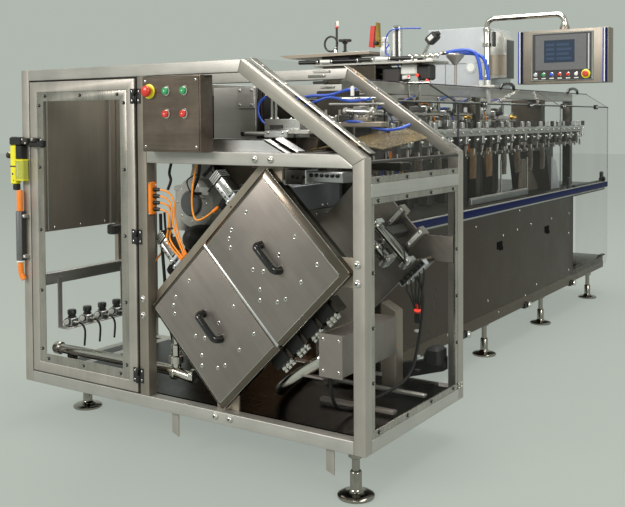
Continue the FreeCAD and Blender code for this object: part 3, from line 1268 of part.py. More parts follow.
def check_and_write():
    """Stop on any failed object, then write each sub-part to its file."""
    doc.recompute()
    for item in doc.Objects:
        if "Invalid" in item.State or "Error" in item.State:
            raise RuntimeError(f"{item.Name} failed: {item.State}")
    os.makedirs("parts", exist_ok=True)
    for item in nodes:
        shape = item.Shape
        if shape.isNull() or not shape.isValid() or not shape.Solids:
            raise RuntimeError(f"{item.Label} has no valid solid")
        shape.exportStep(f"parts/{item.Label}.step")
    whole = Part.makeCompound([item.Shape for item in nodes]).BoundBox
    print(f"{len(nodes)} sub-parts, box {whole}")


infeed_frame()
door()
door_switch()
button_box()
drive_unit()
rear_drive_plate()
slide_cylinders()
inner_pieces()
lead_block()
transfer_slide()
picking_arm()
machine_base()
feet()
guards()
upper_frame()
line_machinery()
end_guard()
dosing_head()
hose_manifold()
cabinet()
pendant()
leads_and_hoses()
black_leads()
check_and_write()
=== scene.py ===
"""Looks of a pouch packing machine: rounded tubes, fasteners, finishes, leads, valves
and guards around the packed frame, laid out as an add-on.

Shape functions take millimetres from the front left corner of the infeed frame: x to the
right, y back along the machine, z up from the floor. The finished meshes are in metres.
"""

import math

import bmesh
import bpy
import numpy as np
from mathutils import Matrix, Vector


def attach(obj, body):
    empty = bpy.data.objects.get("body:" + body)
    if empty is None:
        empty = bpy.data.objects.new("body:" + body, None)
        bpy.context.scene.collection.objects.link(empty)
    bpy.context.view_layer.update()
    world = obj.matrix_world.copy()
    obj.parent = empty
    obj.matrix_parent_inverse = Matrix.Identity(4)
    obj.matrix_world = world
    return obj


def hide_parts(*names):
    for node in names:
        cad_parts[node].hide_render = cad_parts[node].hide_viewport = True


bl_info = {
    "name": "Pouch packing machine",
    "version": (1, 0, 0),
    "blender": (4, 5, 0),
    "location": "View3D > Sidebar > Packing",
    "description": "Builds the looks of a pouch packing machine around its packed frame",
    "category": "Object",
}

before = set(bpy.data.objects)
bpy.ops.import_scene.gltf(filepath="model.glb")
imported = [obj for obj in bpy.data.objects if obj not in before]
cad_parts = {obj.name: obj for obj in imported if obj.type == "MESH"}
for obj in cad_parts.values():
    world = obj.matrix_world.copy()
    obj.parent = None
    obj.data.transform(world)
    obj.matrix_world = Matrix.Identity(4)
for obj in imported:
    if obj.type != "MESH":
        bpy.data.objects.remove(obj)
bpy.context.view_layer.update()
CORNER = np.array([879.0, 2171.0, 0.0])
HALF = math.sqrt(0.5)
RIGHT = (1, 0, 0)
FRONT = (0, -1, 0)
UPWARD = (0, 0, 1)
SHARP_ANGLE = math.radians(38)
BEVEL_ANGLE = math.radians(34)
FLAT_ANGLE = math.radians(2)
WELD_GAP = 2e-5


def metres(spots):
    """Millimetres from the frame's corner as metres from the machine's middle."""
    return (np.asarray(spots, float) - CORNER) / 1000.0


class Wire:
    """A shader socket that can stand in sums and products."""

    def __init__(self, paint, socket):
        self.paint = paint
        self.socket = socket

    def calculate(self, operation, first, second):
        return self.paint.node("ShaderNodeMath", {"operation": operation}, {0: first, 1: second})

    def __add__(self, other):
        return self.calculate("ADD", self, other)

    def __mul__(self, other):
        return self.calculate("MULTIPLY", self, other)


def tone(colour, strength=1.0):
    """A colour of 0 to 255 as scene linear values."""
    share = np.asarray(colour, float) / 255.0
    linear = np.where(share <= 0.04045, share / 12.92, ((share + 0.055) / 1.055) ** 2.4)
    return tuple(np.clip(linear * strength, 0, 1)) + (1.0,)


class Paint:
    """One node material while it is being put together."""

    def __init__(self, name):
        self.material = bpy.data.materials.new(name)
        self.material.use_nodes = True
        self.tree = self.material.node_tree
        self.shader = self.tree.nodes["Principled BSDF"]

    def node(self, kind, settings=None, sockets=None, output=0):
        item = self.tree.nodes.new(kind)
        for key, value in (settings or {}).items():
            setattr(item, key, value)
        for key, value in (sockets or {}).items():
            if isinstance(value, Wire):
                self.tree.links.new(value.socket, item.inputs[key])
            else:
                item.inputs[key].default_value = value
        return Wire(self, item.outputs[output])

    def noise(self, size, stretch=(1, 1, 1), turn=0.0, detail=3.0):
        """Cloudy mask; size is the width of a patch in metres, turned about the y axis."""
        place = self.node("ShaderNodeTexCoord", output=3)
        turned = self.node("ShaderNodeVectorRotate", {"rotation_type": "Y_AXIS"},
                           {"Vector": place, "Angle": turn})
        spread = self.node("ShaderNodeMapping", None,
                           {"Vector": turned, "Scale": tuple(1 / s for s in stretch)})
        return self.node("ShaderNodeTexNoise", None,
                         {"Vector": spread, "Scale": 1 / size, "Detail": detail,
                          "Roughness": 0.55})

    def blend(self, mask, first, second):
        return self.node("ShaderNodeMix", {"data_type": "RGBA"}, {0: mask, 6: first, 7: second}, 2)

    def bump(self, height, depth):
        return self.node("ShaderNodeBump", None,
                         {"Height": height, "Distance": depth, "Strength": 0.6})

    def finish(self, **sockets):
        for key, value in sockets.items():
            name = key.replace("_", " ")
            if isinstance(value, Wire):
                self.tree.links.new(value.socket, self.shader.inputs[name])
            else:
                self.shader.inputs[name].default_value = value
        return self.material


def steel(name, colour, along, rough, contrast=1.0, metal=1.0, turn=0.0):
    """Ground stainless: fine and broad streaks along one axis, turned by degrees about y, and
    smudges."""
    paint = Paint(name)
    turn = math.radians(turn)
    fine = tuple(40.0 if axis == along else 1.0 for axis in "xyz")
    broad = tuple(14.0 if axis == along else 1.0 for axis in "xyz")
    grain = paint.noise(0.0016, fine, turn)
    streak = paint.noise(0.022, broad, turn)
    smudge = paint.noise(0.16, detail=4.0)
    mask = grain * (0.35 * contrast) + streak * (0.75 * contrast) + smudge * (0.9 * contrast)
    mask = mask + (0.5 - contrast)
    return paint.finish(Base_Color=paint.blend(mask, tone(colour, 0.62), tone(colour, 1.38)),
            Metallic=metal, Roughness=smudge * 0.22 + grain * 0.12 + (rough - 0.17),
            Normal=paint.bump(grain, 0.00012))


def plastic(name, colour, rough=0.45, coat=0.0, mottle=0.12, shine=0.5):
    """Moulded plastic or paint with a faint mottle and a fine orange-peel."""
    paint = Paint(name)
    cloud = paint.noise(0.03, detail=4.0)
    peel = paint.noise(0.0012)
    return paint.finish(Base_Color=paint.blend(cloud, tone(colour, 1 - mottle * 2),
            tone(colour, 1 + mottle)), Roughness=cloud * 0.16 + (rough - 0.08), Coat_Weight=coat,
            Specular_IOR_Level=shine, Normal=paint.bump(peel, 0.00006))


def glass(name, colour, cover, rough=0.06, shine=0.5):
    """Clear sheet: mostly see-through, with faint wiping marks."""
    paint = Paint(name)
    wipe = paint.noise(0.25, (1, 1, 3), detail=4.0)
    return paint.finish(Base_Color=tone(colour), Roughness=rough, Specular_IOR_Level=shine,
            Alpha=wipe * (cover * 0.8) + cover * 0.6)


def film(name, dark, light, cover):
    """Pouch film in uneven warm tones."""
    paint = Paint(name)
    cloud = paint.noise(0.05, (1, 1, 2), detail=4.0)
    fold = paint.noise(0.012, (1, 1, 5))
    return paint.finish(Base_Color=paint.blend(cloud, tone(dark), tone(light)), Roughness=fold *
            0.3 + 0.1, Alpha=cloud * 0.3 + cover, Normal=paint.bump(fold, 0.002))


def glow(name, colour, strength):
    """Lit screen or lamp in soft uneven tone."""
    paint = Paint(name)
    cloud = paint.noise(0.02, detail=2.0)
    return paint.finish(Base_Color=tone(colour), Roughness=0.15, Emission_Strength=strength,
            Emission_Color=paint.blend(cloud, tone(colour, 0.7), tone(colour, 1.3)))


FINISHES = {
    "steel_x": (steel, "Ground stainless across", (174, 172, 167), "x", 0.42, 0.45, 0.7),
    "steel_y": (steel, "Ground stainless lengthwise", (180, 179, 174), "y", 0.42, 0.45, 0.7),
    "steel_z": (steel, "Ground stainless upright", (168, 163, 156), "z", 0.42, 0.45, 0.7),
    "steel_slope": (steel, "Ground stainless on the slope", (162, 158, 150), "x", 0.42, 0.45, 0.7,
                    -34.2),
    "strip": (steel, "Window strip steel", (172, 167, 160), "z", 0.28),
    "cover": (steel, "Ground cover plate", (140, 133, 128), "x", 0.42, 0.4, 0.85, -45),
    # The bevel's finish is the cover steel made darker: painted shade for the darker reflections of
    # the bevel.
    "shaded_cover_rim": (steel, "Bevelled cover rim with painted shade", (116, 106, 96), "x", 0.22, 0.5, 1.0, -45),
    "post_steel": (steel, "Ground inner post", (138, 131, 121), "z", 0.42, 0.5, 0.7),
    "dark_plate": (steel, "Dark ground plate", (162, 155, 147), "x", 0.34, 0.6, 1.0, -45),
    "box_steel": (steel, "Dark ground box steel", (118, 106, 97), "x", 0.33),
    "panel_steel": (steel, "Dark brushed side panel", (146, 137, 124), "z", 0.42, 0.5, 0.6),
    "base_steel": (steel, "Brown grey base panel", (60, 46, 33), "z", 0.3, 0.5),
    "base_ledge": (steel, "Lower ledge of the base", (84, 71, 56), "y", 0.25, 0.5),
    # Dark steel for parts in and under the housings: its dark tone is painted shade.
    "shade_steel": (steel, "Steel in the housing with painted shade", (70, 65, 58), "y", 0.35),
    "grey_steel": (steel, "Blue grey sheet", (112, 114, 119), "y", 0.4, 0.3, 0.6),
    "tray": (steel, "Dark tray sheet", (25, 22, 19), "y", 0.3),
    "polished": (steel, "Polished pipe steel", (205, 202, 195), "x", 0.14, 0.4),
    "chrome": (steel, "Bright turned steel", (214, 212, 206), "z", 0.1, 0.4),
    "aluminium": (steel, "Satin aluminium", (196, 197, 197), "x", 0.38, 0.5),
    "bright": (steel, "Milled aluminium block", (222, 222, 220), "x", 0.3, 0.4),
    "foot": (steel, "Turned foot steel", (152, 148, 140), "z", 0.14, 0.5),
    "brass": (steel, "Brass fitting", (196, 160, 84), "z", 0.2, 0.5),
    "black": (plastic, "Black moulding", (24, 24, 25), 0.38),
    "gloss_black": (plastic, "Gloss black moulding", (12, 12, 13), 0.2, 0.4),
    # A black patch that stands for a hole or slot: painted shade inside the opening.
    "void": (plastic, "Painted shade in an opening", (5, 5, 5), 0.9, 0.0, 0.12, 0.1),
    "rubber": (plastic, "Black rubber", (16, 16, 17), 0.6),
    "dark": (plastic, "Dark fitting", (44, 41, 38), 0.5),
    "grey": (plastic, "Light grey enamel", (168, 168, 162), 0.35, 0.3),
    "pale": (plastic, "Pale cabinet paint", (182, 187, 192), 0.4, 0.2, 0.05),
    "mid_grey": (plastic, "Mid grey plastic", (90, 92, 94), 0.45),
    "white": (plastic, "White plastic", (226, 226, 222), 0.4, 0.2, 0.04),
    "orange": (plastic, "Orange moulding", (240, 132, 28), 0.4, 0.2),
    "orange_lead": (plastic, "Orange lead jacket", (244, 150, 40), 0.42, 0.1),
    "yellow": (plastic, "Yellow moulding", (232, 222, 40), 0.4, 0.2),
    "olive": (plastic, "Olive yellow window", (176, 178, 70), 0.2, 0.5),
    "red": (plastic, "Red cap", (205, 48, 34), 0.35, 0.3),
    "green": (plastic, "Green cap", (48, 150, 92), 0.35, 0.3),
    "blue": (plastic, "Blue profile", (38, 56, 168), 0.4, 0.2),
    "rail_blue": (plastic, "Dark blue rail", (15, 25, 70), 0.5, 0.0, 0.12, 0.06),
    "hose_blue": (plastic, "Blue hose", (40, 84, 196), 0.35, 0.2),
    # The window and guard sheets are dark: partly their own slight grey tint, partly painted shade
    # that darkens the dim inside seen through them.
    "clear": (glass, "Clear window sheet", (58, 60, 58), 0.05, 0.06, 0.4),
    "guard": (glass, "Clear guard sheet", (66, 66, 62), 0.1),
    "slope_sheet": (glass, "Sloped window sheet", (46, 47, 46), 0.06, 0.2, 0.2),
    # Cut edges drawn as dark lines are painted shade; the paler copy is the same edge with fainter
    # painted shade, for the guards further back.
    "edge": (glass, "Sheet edge in painted shade", (54, 50, 64), 0.8, 0.25),
    "pale_edge": (glass, "Sheet edge in paler painted shade", (120, 118, 122), 0.3, 0.2),
    "sleeve": (glass, "Clear sleeve", (214, 218, 216), 0.5, 0.1),
    "pouch": (film, "Brown pouch film", (30, 22, 14), (74, 50, 28), 0.74),
    "dull_pouch": (film, "Amber pouch film", (52, 34, 16), (122, 84, 34), 0.74),
    "web": (film, "Brown film web", (58, 46, 28), (140, 118, 70), 0.6),
    "screen": (glow, "Screen glass", (38, 50, 68), 0.12),
    "screen_mark": (glow, "Screen field", (50, 66, 88), 0.14),
    "lamp": (glow, "Small red lamp", (236, 60, 40), 1.5),
}
made = {}


def finish(name):
    """The material of a finish, made the first time it is asked for."""
    if name not in made:
        kind, *values = FINISHES[name]
        made[name] = kind(*values)
    return made[name]


def place(name, data):
    """A new object for some data, linked into the scene."""
    item = bpy.data.objects.new(name, data)
    bpy.context.scene.collection.objects.link(item)
    return item


class Seat:
    """A place with its own three directions; calling it turns local spots into machine ones."""

    def __init__(self, origin=(0, 0, 0), axes=(RIGHT, (0, 1, 0), UPWARD)):
        self.origin = np.asarray(origin, float)
        self.axes = np.asarray(axes, float)

    def __call__(self, spots):
        return np.asarray(spots, float) @ self.axes + self.origin


LEVEL = Seat()
DIAMOND = Seat((1384.04, 2, 1159), ((HALF, 0, -HALF), (-HALF, 0, -HALF), FRONT))
SLOPE = Seat((1284, 0, 1607), ((0.8270, 0, -0.5623), (0, 1, 0), (0.5623, 0, 0.8270)))


def across(axis):
    """Two directions square to an axis and to each other."""
    axis = np.asarray(axis, float)
    axis = axis / np.linalg.norm(axis)
    helper = np.array([0.0, 0.0, 1.0]) if abs(axis[2]) < 0.8 else np.array([1.0, 0.0, 0.0])
    first = np.cross(axis, helper)
    first = first / np.linalg.norm(first)
    return axis, first, np.cross(axis, first)


def smooth_line(points, steps=6):
    """Catmull-Rom curve through points: on each span a cubic of its four nearest points."""
    points = np.asarray(points, float)
    if len(points) < 3:
        return points
    wide = np.concatenate([[2 * points[0] - points[1]], points, [2 * points[-1] - points[-2]]])
    share = np.linspace(0, 1, steps, endpoint=False)[:, None, None]
    a, b, c, d = wide[:-3], wide[1:-2], wide[2:-1], wide[3:]
    curve = 0.5 * (2 * b + (c - a) * share + (2 * a - 5 * b + 4 * c - d) * share ** 2 +
            (3 * b - a - 3 * c + d) * share ** 3)
    return np.concatenate([curve.transpose(1, 0, 2).reshape(-1, 3), points[-1:]])


class Piece:
    """Surfaces gathered into one mesh that rides on a body of the machine."""

    def __init__(self, name, body="machine", slot="brushed_stainless", *nodes):
        self.name = name
        self.body = body
        self.slot = slot
        self.nodes = nodes
        self.spots = []
        self.faces = []
        self.marks = []
        self.finishes = []
        self.count = 0

    def loft(self, rings, look, smooth=True):
        """Skin over closed rings: quads join each ring to the next and both ends are closed.
        The faces are turned round where the enclosed volume comes out negative."""
        rings = np.asarray(rings, float)
        rows, columns = rings.shape[:2]
        spots = rings.reshape(-1, 3)
        index = np.arange(rows * columns).reshape(rows, columns)
        after = np.roll(index, -1, axis=1)
        quads = np.stack([index[:-1], after[:-1], after[1:], index[1:]], -1).reshape(-1, 4)
        local = spots - spots.mean(0)
        a, b, c, d = (local[quads[:, k]] for k in range(4))
        volume = np.einsum("ij,ij->", a, np.cross(b, c)) + np.einsum("ij,ij->", a, np.cross(c, d))
        for ring, sign in ((local[index[0]], -1), (local[index[-1]], 1)):
            fan = np.cross(ring[1:-1], ring[2:])
            volume += sign * np.einsum("j,ij->", ring[0], fan)
        faces = quads.tolist() + [index[0][::-1].tolist(), index[-1].tolist()]
        if volume < 0:
            faces = [face[::-1] for face in faces]
        if look not in self.finishes:
            self.finishes.append(look)
        mark = self.finishes.index(look)
        self.spots.append(spots)
        self.faces.extend([[corner + self.count for corner in face] for face in faces])
        self.marks.extend([(mark, smooth)] * len(quads) + [(mark, False)] * 2)
        self.count += len(spots)
        return self

    def blocks(self, rows, seat=LEVEL):
        """One block for each row of low corner, high corner, finish and, if not 1.5, cut edge."""
        for low, high, look, *edge in rows:
            self.block(low, high, look, seat, *edge)

    def turns(self, rows, seat=LEVEL):
        """One turned shape for each row of spot, axis, profile, finish and, if not 20, sides."""
        for spot, axis, profile, look, *sides in rows:
            self.turned(spot, axis, profile, look, *sides, seat=seat)

    def block(self, low, high, look, seat=LEVEL, edge=1.5):
        """Box with cut edges: an eight-sided outline drawn in at both ends."""
        low, high = np.minimum(low, high).astype(float), np.maximum(low, high).astype(float)
        edge = min(edge, 0.3 * float((high - low).min()))
        rings = []
        for z, inset in ((low[2], edge), (low[2] + edge, 0), (high[2] - edge, 0), (high[2], edge)):
            x0, y0 = low[:2] + inset
            x1, y1 = high[:2] - inset
            rings.append([(x0 + edge, y0, z), (x1 - edge, y0, z), (x1, y0 + edge, z),
                          (x1, y1 - edge, z), (x1 - edge, y1, z), (x0 + edge, y1, z),
                          (x0, y1 - edge, z), (x0, y0 + edge, z)])
        return self.loft(seat(rings), look, False)

    def turned(self, spot, axis, profile, look, sides=20, seat=LEVEL):
        """Surface of revolution: each radius of the profile swept round the axis."""
        axis, first, second = across(np.asarray(axis, float) @ seat.axes)
        angles = np.linspace(0, 2 * math.pi, sides, endpoint=False)
        circle = np.cos(angles)[:, None] * first + np.sin(angles)[:, None] * second
        radii = np.array([max(radius, 0.05) for radius, _ in profile])[:, None, None]
        heights = np.array([height for _, height in profile])[:, None, None]
        return self.loft(seat(spot) + axis * heights + circle[None] * radii, look)

    def rod(self, start, end, radius, look, sides=14, seat=LEVEL):
        """Round bar between two spots with a small cut edge at both ends."""
        start, end = seat(start), seat(end)
        long = float(np.linalg.norm(end - start))
        rim = min(radius * 0.15, long * 0.2)
        profile = [(radius - rim, 0), (radius, rim), (radius, long - rim), (radius - rim, long)]
        return self.turned(start, end - start, profile, look, sides)

    def pipe(self, points, radius, look, steps=6, sides=10, seat=LEVEL):
        """Tube along a smooth line through points; its rings stand square to the line.
        A list of radii is spread evenly along it."""
        line = smooth_line(seat(points), steps)
        radii = np.atleast_1d(np.asarray(radius, float))
        radius = np.interp(np.linspace(0, 1, len(line)), np.linspace(0, 1, len(radii)), radii)
        radius = radius[:, None, None]
        run = np.gradient(line, axis=0)
        run /= np.linalg.norm(run, axis=1)[:, None]
        spread = np.abs(run).max(0)
        helper = np.eye(3)[int(np.argmin(spread))]
        first = np.cross(run, helper)
        first /= np.linalg.norm(first, axis=1)[:, None]
        second = np.cross(run, first)
        angles = np.linspace(0, 2 * math.pi, sides, endpoint=False)
        rings = (line[:, None] + radius * (np.cos(angles)[None, :, None] * first[:, None]
                                           + np.sin(angles)[None, :, None] * second[:, None]))
        return self.loft(rings, look)

    def plate(self, outline, low, high, look, seat=LEVEL, order=(0, 2, 1)):
        """Flat outline pulled from low to high; order names the two axes it is drawn in, then
        the axis it is pulled along."""
        rings = []
        for level in (low, high):
            spots = np.zeros((len(outline), 3))
            spots[:, order[0]], spots[:, order[1]] = np.asarray(outline, float).T
            spots[:, order[2]] = level
            rings.append(spots)
        return self.loft(seat(rings), look, False)

    def screw(self, spots, axis, radius, high, look="chrome", painted_socket="dark", seat=LEVEL):
        """Button-head screws: a low dome with a dark socket."""
        for spot in spots:
            dome = [(radius, 0), (radius, high * 0.35), (radius * 0.86, high * 0.7),
                    (radius * 0.55, high)]
            self.turned(spot, axis, dome, look, 12, seat)
            top = np.asarray(spot, float) + np.asarray(axis, float) * high
            # The disc paints the socket: painted shade when dark, a painted highlight when bright.
            self.turned(top, axis, [(radius * 0.42, -0.5), (radius * 0.42, 0.4)], painted_socket, 6, seat)
        return self

    def done(self):
        """The mesh object, at the origin, riding on its body."""
        mesh = bpy.data.meshes.new(self.name)
        mesh.from_pydata(metres(np.concatenate(self.spots)).tolist(), [], self.faces)
        marks = np.array(self.marks)
        mesh.polygons.foreach_set("material_index", marks[:, 0].astype(np.int32))
        mesh.polygons.foreach_set("use_smooth", marks[:, 1].astype(bool))
        for look in self.finishes:
            mesh.materials.append(finish(look))
        mesh.validate()
        mesh.set_sharp_from_angle(angle=SHARP_ANGLE)
        item = place(self.name, mesh)
        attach(item, self.body)
        if self.nodes:
            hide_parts(*self.nodes)
        return item


def soften(item, width, segments):
    """Round the edges of a mesh by a width in millimetres."""
    bevel = item.modifiers.new("Rounding", "BEVEL")
    bevel.width = width / 1000
    bevel.segments = segments
    bevel.limit_method = "ANGLE"
    bevel.angle_limit = BEVEL_ANGLE
    bevel.harden_normals = True
    item.data.polygons.foreach_set("use_smooth", [True] * len(item.data.polygons))


def rounded(name, node, width, choose, body="machine", segments=3):
    """A CAD node's own shape with rounded edges. choose is a finish, or a function of the
    face centres in millimetres that gives (finishes, index of each face)."""
    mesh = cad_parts[node].data.copy()
    mesh.name = name
    work = bmesh.new()
    work.from_mesh(mesh)
    bmesh.ops.remove_doubles(work, verts=work.verts, dist=WELD_GAP)
    bmesh.ops.dissolve_limit(work, angle_limit=FLAT_ANGLE, verts=work.verts, edges=work.edges)
    work.to_mesh(mesh)
    work.free()
    mesh.materials.clear()
    names, index = [choose], None
    if callable(choose):
        centres = np.zeros(len(mesh.polygons) * 3)
        mesh.polygons.foreach_get("center", centres)
        names, index = choose(centres.reshape(-1, 3) * 1000 + CORNER)
    for look in names:
        mesh.materials.append(finish(look))
    if index is not None:
        mesh.polygons.foreach_set("material_index", index.astype(np.int32))
    item = place(name, mesh)
    soften(item, width, segments)
    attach(item, body)
    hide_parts(node)
    return item


def coat(node, look):
    """Give a CAD node that shows as it is its finish."""
    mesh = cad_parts[node].data
    mesh.materials.clear()
    mesh.materials.append(finish(look))


def free_cord(name, node, spots, radius, look):
    """A free lead or hose: one smooth curve with the route's points as its control points."""
    data = bpy.data.curves.new(name, "CURVE")
    data.dimensions = "3D"
    line = data.splines.new("NURBS")
    line.points.add(len(spots) - 1)
    flat = np.ones((len(spots), 4))
    flat[:, :3] = metres(spots)
    line.points.foreach_set("co", flat.ravel())
    line.order_u = 3
    line.use_endpoint_u = True
    line.resolution_u = 8
    data.bevel_depth = radius / 1000
    data.bevel_resolution = 3
    data.use_fill_caps = True
    data.materials.append(finish(look))
    item = place(name, data)
    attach(item, "machine")
    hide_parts(node)
    return item


def border(low, high, wide):
    """Chooser for a rectangular ring: upright grain in its sides, level grain in the ends that
    are wide from low and from high."""
    def choose(centres):
        level = (centres[:, 2] < low + wide) | (centres[:, 2] > high - wide)
        return ("strip", "steel_x"), level.astype(int)
    return choose


def infeed_frame(sizes):
    """Square tubes with rounded corners, and their screws."""
    width = sizes.tube_rounding * 1000
    for node, look in (("frame_corner_posts", "steel_z"), ("frame_cross_rails", "steel_x"),
            ("sloped_tubes", "steel_slope"), ("centre_post", "post_steel"), ("mid_rail", "steel_x"),
            ("frame_side_rails", "steel_y")):
        rounded(node + "_tubes", node, width, look)
    rounded("floor_tab_plates", "floor_tabs", 1, "steel_z")
    bolts = Piece("frame_bolts")
    front = [(1348, 0, 1222), (1422, 0, 1222), (1141, 0, 197), (1214, 0, 197), (755, 0, 624),
            (755, 0, 555), (1800, 0, 855), (1800, 0, 787)]
    for x, y, z in front:
        bolts.turned((x, y, z), FRONT, [(15, 0), (15, 2), (14, 2.5)], "steel_x", 18)
    bolts.screw([(x, y - 2, z) for x, y, z in front], FRONT, 12, 8)
    bolts.screw([(1831, y, z) for y in (795, 822) for z in (220, 236)], RIGHT, 6, 4)
    bolts.done()


def glazed_door(sizes):
    """Door frame, window strips, their dome screws and the three black hinges."""
    rounded("door_frame_tube", "door_frame", 4, lambda c:
            (("steel_z", "steel_x"), ((c[:, 2] < 271) | (c[:, 2] > 1501)).astype(int)), "door")
    rounded("door_strips", "door_window_strips", 1, border(270, 1502, 41), "door")
    coat("door_window", "clear")
    screws = Piece("door_strip_screws", "door", "black_fitting")
    left = [(117, 2, z) for z in (1444, 1163, 877, 599, 330)]
    right = [(653, 2, z) for z in (1449, 1166, 883, 599, 330)]
    ends = [(x, 2, z) for z in (1486, 288) for x in (157, 386, 615)]
    # The chrome discs on the black heads are painted highlights.
    screws.screw(left + right + ends, FRONT, 8, 6, "black", "chrome")
    screws.done()
    for node, body, side in (("hinge_leaves_on_frame", "machine", 1),
            ("hinge_leaves_on_door", "door", -1)):
        rounded(node + "_moulded", node, 1.2, "black", body, 2)
        pins = Piece(node + "_screws", body, "brushed_stainless")
        pins.screw([(725 + side * 19, -3, middle + rise) for middle in (298, 885, 1475) for rise in
                (-19, 19)], FRONT, 5, 2.5)
        pins.done()
    # Black rubber strips along the door opening are painted shade: they stand for the dark gap and
    # the shaded rounded edges round the door.
    gap_shade = Piece("door_gap_shade", "machine", "black_fitting")
    for low, high in (((50.4, 12, 218), (54, 30, 1554)), ((717.5, 12, 218), (721, 30, 1554)),
            ((50.4, 12, 1551), (721, 30, 1555)), ((50.4, 12, 217.5), (721, 30, 221))):
        gap_shade.block(low, high, "rubber", edge=0.5)
    gap_shade.done()


def door_switch(sizes):
    """Interlock switch with its yellow bodies, knob, key and orange cable tube."""
    body = Piece("door_switch_body", "machine", "black_plastic", "door_switch")
    body.blocks((
        ((-47, -38, 1262), (30, -2, 1300), "black", 5),
        ((24, -30, 1266), (65, -4, 1296), "dark", 4)))
    body.turned((-30, -20, 1300), UPWARD, [(13, 0), (13, 1.2), (9, 1.4)], "mid_grey", 14)
    body.screw([(36, -30, 1288), (55, -30, 1272)], FRONT, 5, 3)
    body.blocks((
        ((-41, -38, 1083), (-5, -4, 1262), "yellow", 4),
        ((-41, -39, 1162), (-5, -37, 1168), "dark", 0.5)))
    body.turns((
        ((-24, -38, 1130), FRONT, [(5, 0), (5, 0.8)], "black", 12),
        ((-17, -38, 1100), FRONT, [(3, 0), (3, 0.8)], "black", 10)))
    body.blocks((
        ((-4, -36, 1200), (34, -2, 1262), "black", 3),
        ((-4, -37, 1101), (47, -2, 1196), "olive", 4),
        ((-4, -38, 1190), (47, -2, 1198), "yellow", 2),
        ((-4, -38, 1099), (47, -2, 1106), "yellow", 2),
        ((6, -38.5, 1120), (12, -36, 1180), "pale", 1)))
    body.turns((
        ((-41, -19, 1215), (-1, 0, 0), [(6, 0), (6, 10), (12, 12), (12, 20), (15, 22), (15, 34),
            (11, 37)], "dark", 18),
        ((-45, -22, 1225), (-0.3, -1, 0.2), [(4, 0), (4, 16), (2.5, 18)], "chrome", 12)))
    body.block((-33, -33, 1054), (-5, -6, 1084), "black", edge=4)
    body.turns((
        ((0, -19, 957), UPWARD, [(12, 0), (14, 2), (14, 90), (12, 98)], "orange", 20),
        ((0, -19, 728), UPWARD, [(17, 0), (19, 2), (19, 226), (17, 229)], "mid_grey", 20),
        ((0, -19, 722), UPWARD, [(19, 0), (19, 7)], "white", 20)))
    body.block((17, -26, 730), (21, -4, 955), "dark", edge=1)
    body.pipe([(0, -19, 725), (0, -19, 690), (4, -18, 662), (16, -14, 641)], 13, "orange")
    for z in (927, 740):
        body.block((2, -22, z), (36, 0, z + 18), "steel_z", edge=2)
    body.screw([(28, -22, 936), (28, -22, 749)], FRONT, 6, 4, "white")
    body.done()
    key = Piece("door_switch_tongue", "door", "black_plastic", "door_switch_key")
    key.blocks((
        ((73, -24, 1256), (150, -4, 1280), "black", 5),
        ((140, -26, 1252), (169, 0, 1290), "black", 6),
        ((84, -28, 1276), (116, -2, 1298), "dark", 5)))
    key.turns((
        ((100, -27, 1290), FRONT, [(7, 0), (7, 2), (4, 3)], "chrome", 12),
        ((158, -25, 1288), FRONT, [(5, 0), (4, 2)], "chrome", 10)))
    key.done()


def button_box(sizes):
    """Push-button box with its lid, corner screws, four push buttons and stop button."""
    rounded("button_box_case", "push_button_box", 3, "box_steel")
    lid = Piece("button_box_lid")
    lid.block((827, -64, 1253), (1125, -60.2, 1546), "box_steel", edge=1.2)
    lid.screw([(x, -64, z) for x in (842, 1110) for z in (1268, 1531)], FRONT, 6, 3)
    lid.block((822, -40, 1542), (1130, 4, 1551), "steel_x", edge=2)
    lid.done()
    caps = Piece("push_buttons", "machine", "push_button", "box_buttons")
    for x, z, look in ((957, 1490, "green"), (1050, 1490, "green"), (957, 1399, "red"),
            (1050, 1399, "red")):
        caps.turns((
            ((x, -64, z), FRONT, [(20, 0), (20, 3), (17, 6), (14.5, 6)], "chrome", 24),
            ((x, -69, z), FRONT, [(14.5, 0), (14.5, 7), (12.5, 9), (5, 9.6)], look, 24),
            ((x - 0.5, -78, z), FRONT, [(3, 0), (2.5, 0.8)], "white", 10)))
    x, z = 865, 1490
    caps.turns((
        ((x, -64, z), FRONT, [(30, 0), (30, 2), (28.5, 3), (20, 3.4)], "yellow", 32),
        ((x, -67, z), FRONT, [(13, 0), (13, 12)], "black", 20),
        ((x, -76, z), FRONT, [(17, 0), (22, 3), (23, 9), (21, 15), (15, 19), (6, 21.5)], "red",
            28)))
    caps.done()


def cover_ring(first, last, out, near):
    """A cover's cut-cornered outline at one level: its sides run evenly from the rim, where near
    is 0, to the flat face, where it is 25. first and last each give (at the rim, at the face)."""
    share = near / 25
    left, right = -21 + 25 * share, 508 - 24 * share
    low, high = (rim + (face - rim) * share for rim, face in (first, last))
    cut = 6 - 3 * share
    return [(left + cut, low, out), (right - cut, low, out), (right, low + cut, out),
            (right, high - cut, out), (right - cut, high, out), (left + cut, high, out),
            (left, high - cut, out), (left, low + cut, out)]


RIM_LEVELS = ((-48, 0), (-17, 0), (-14, 2), (-1.4, 23))
FACE_LEVELS = ((-6, 24), (-0.5, 24), (0, 25))
# Each cover row: name, first and last sides at the rim and at the face, and its painted highlight
# rods, each as the ring corner it starts at, its radius at the face's fold and its radius at the
# rim's outer edge.
COVERS = (("upper_cover", (-23, 9), (409, 404), ((0, 2.2, 1.5), (2, 1.3, 1.2), (6, 1.0, 0.8))),
          ("lower_cover", (417, 422), (820, 797), ((2, 1.3, 1.2), (6, 1.0, 0.8), (4, 1.0, 1.0))))


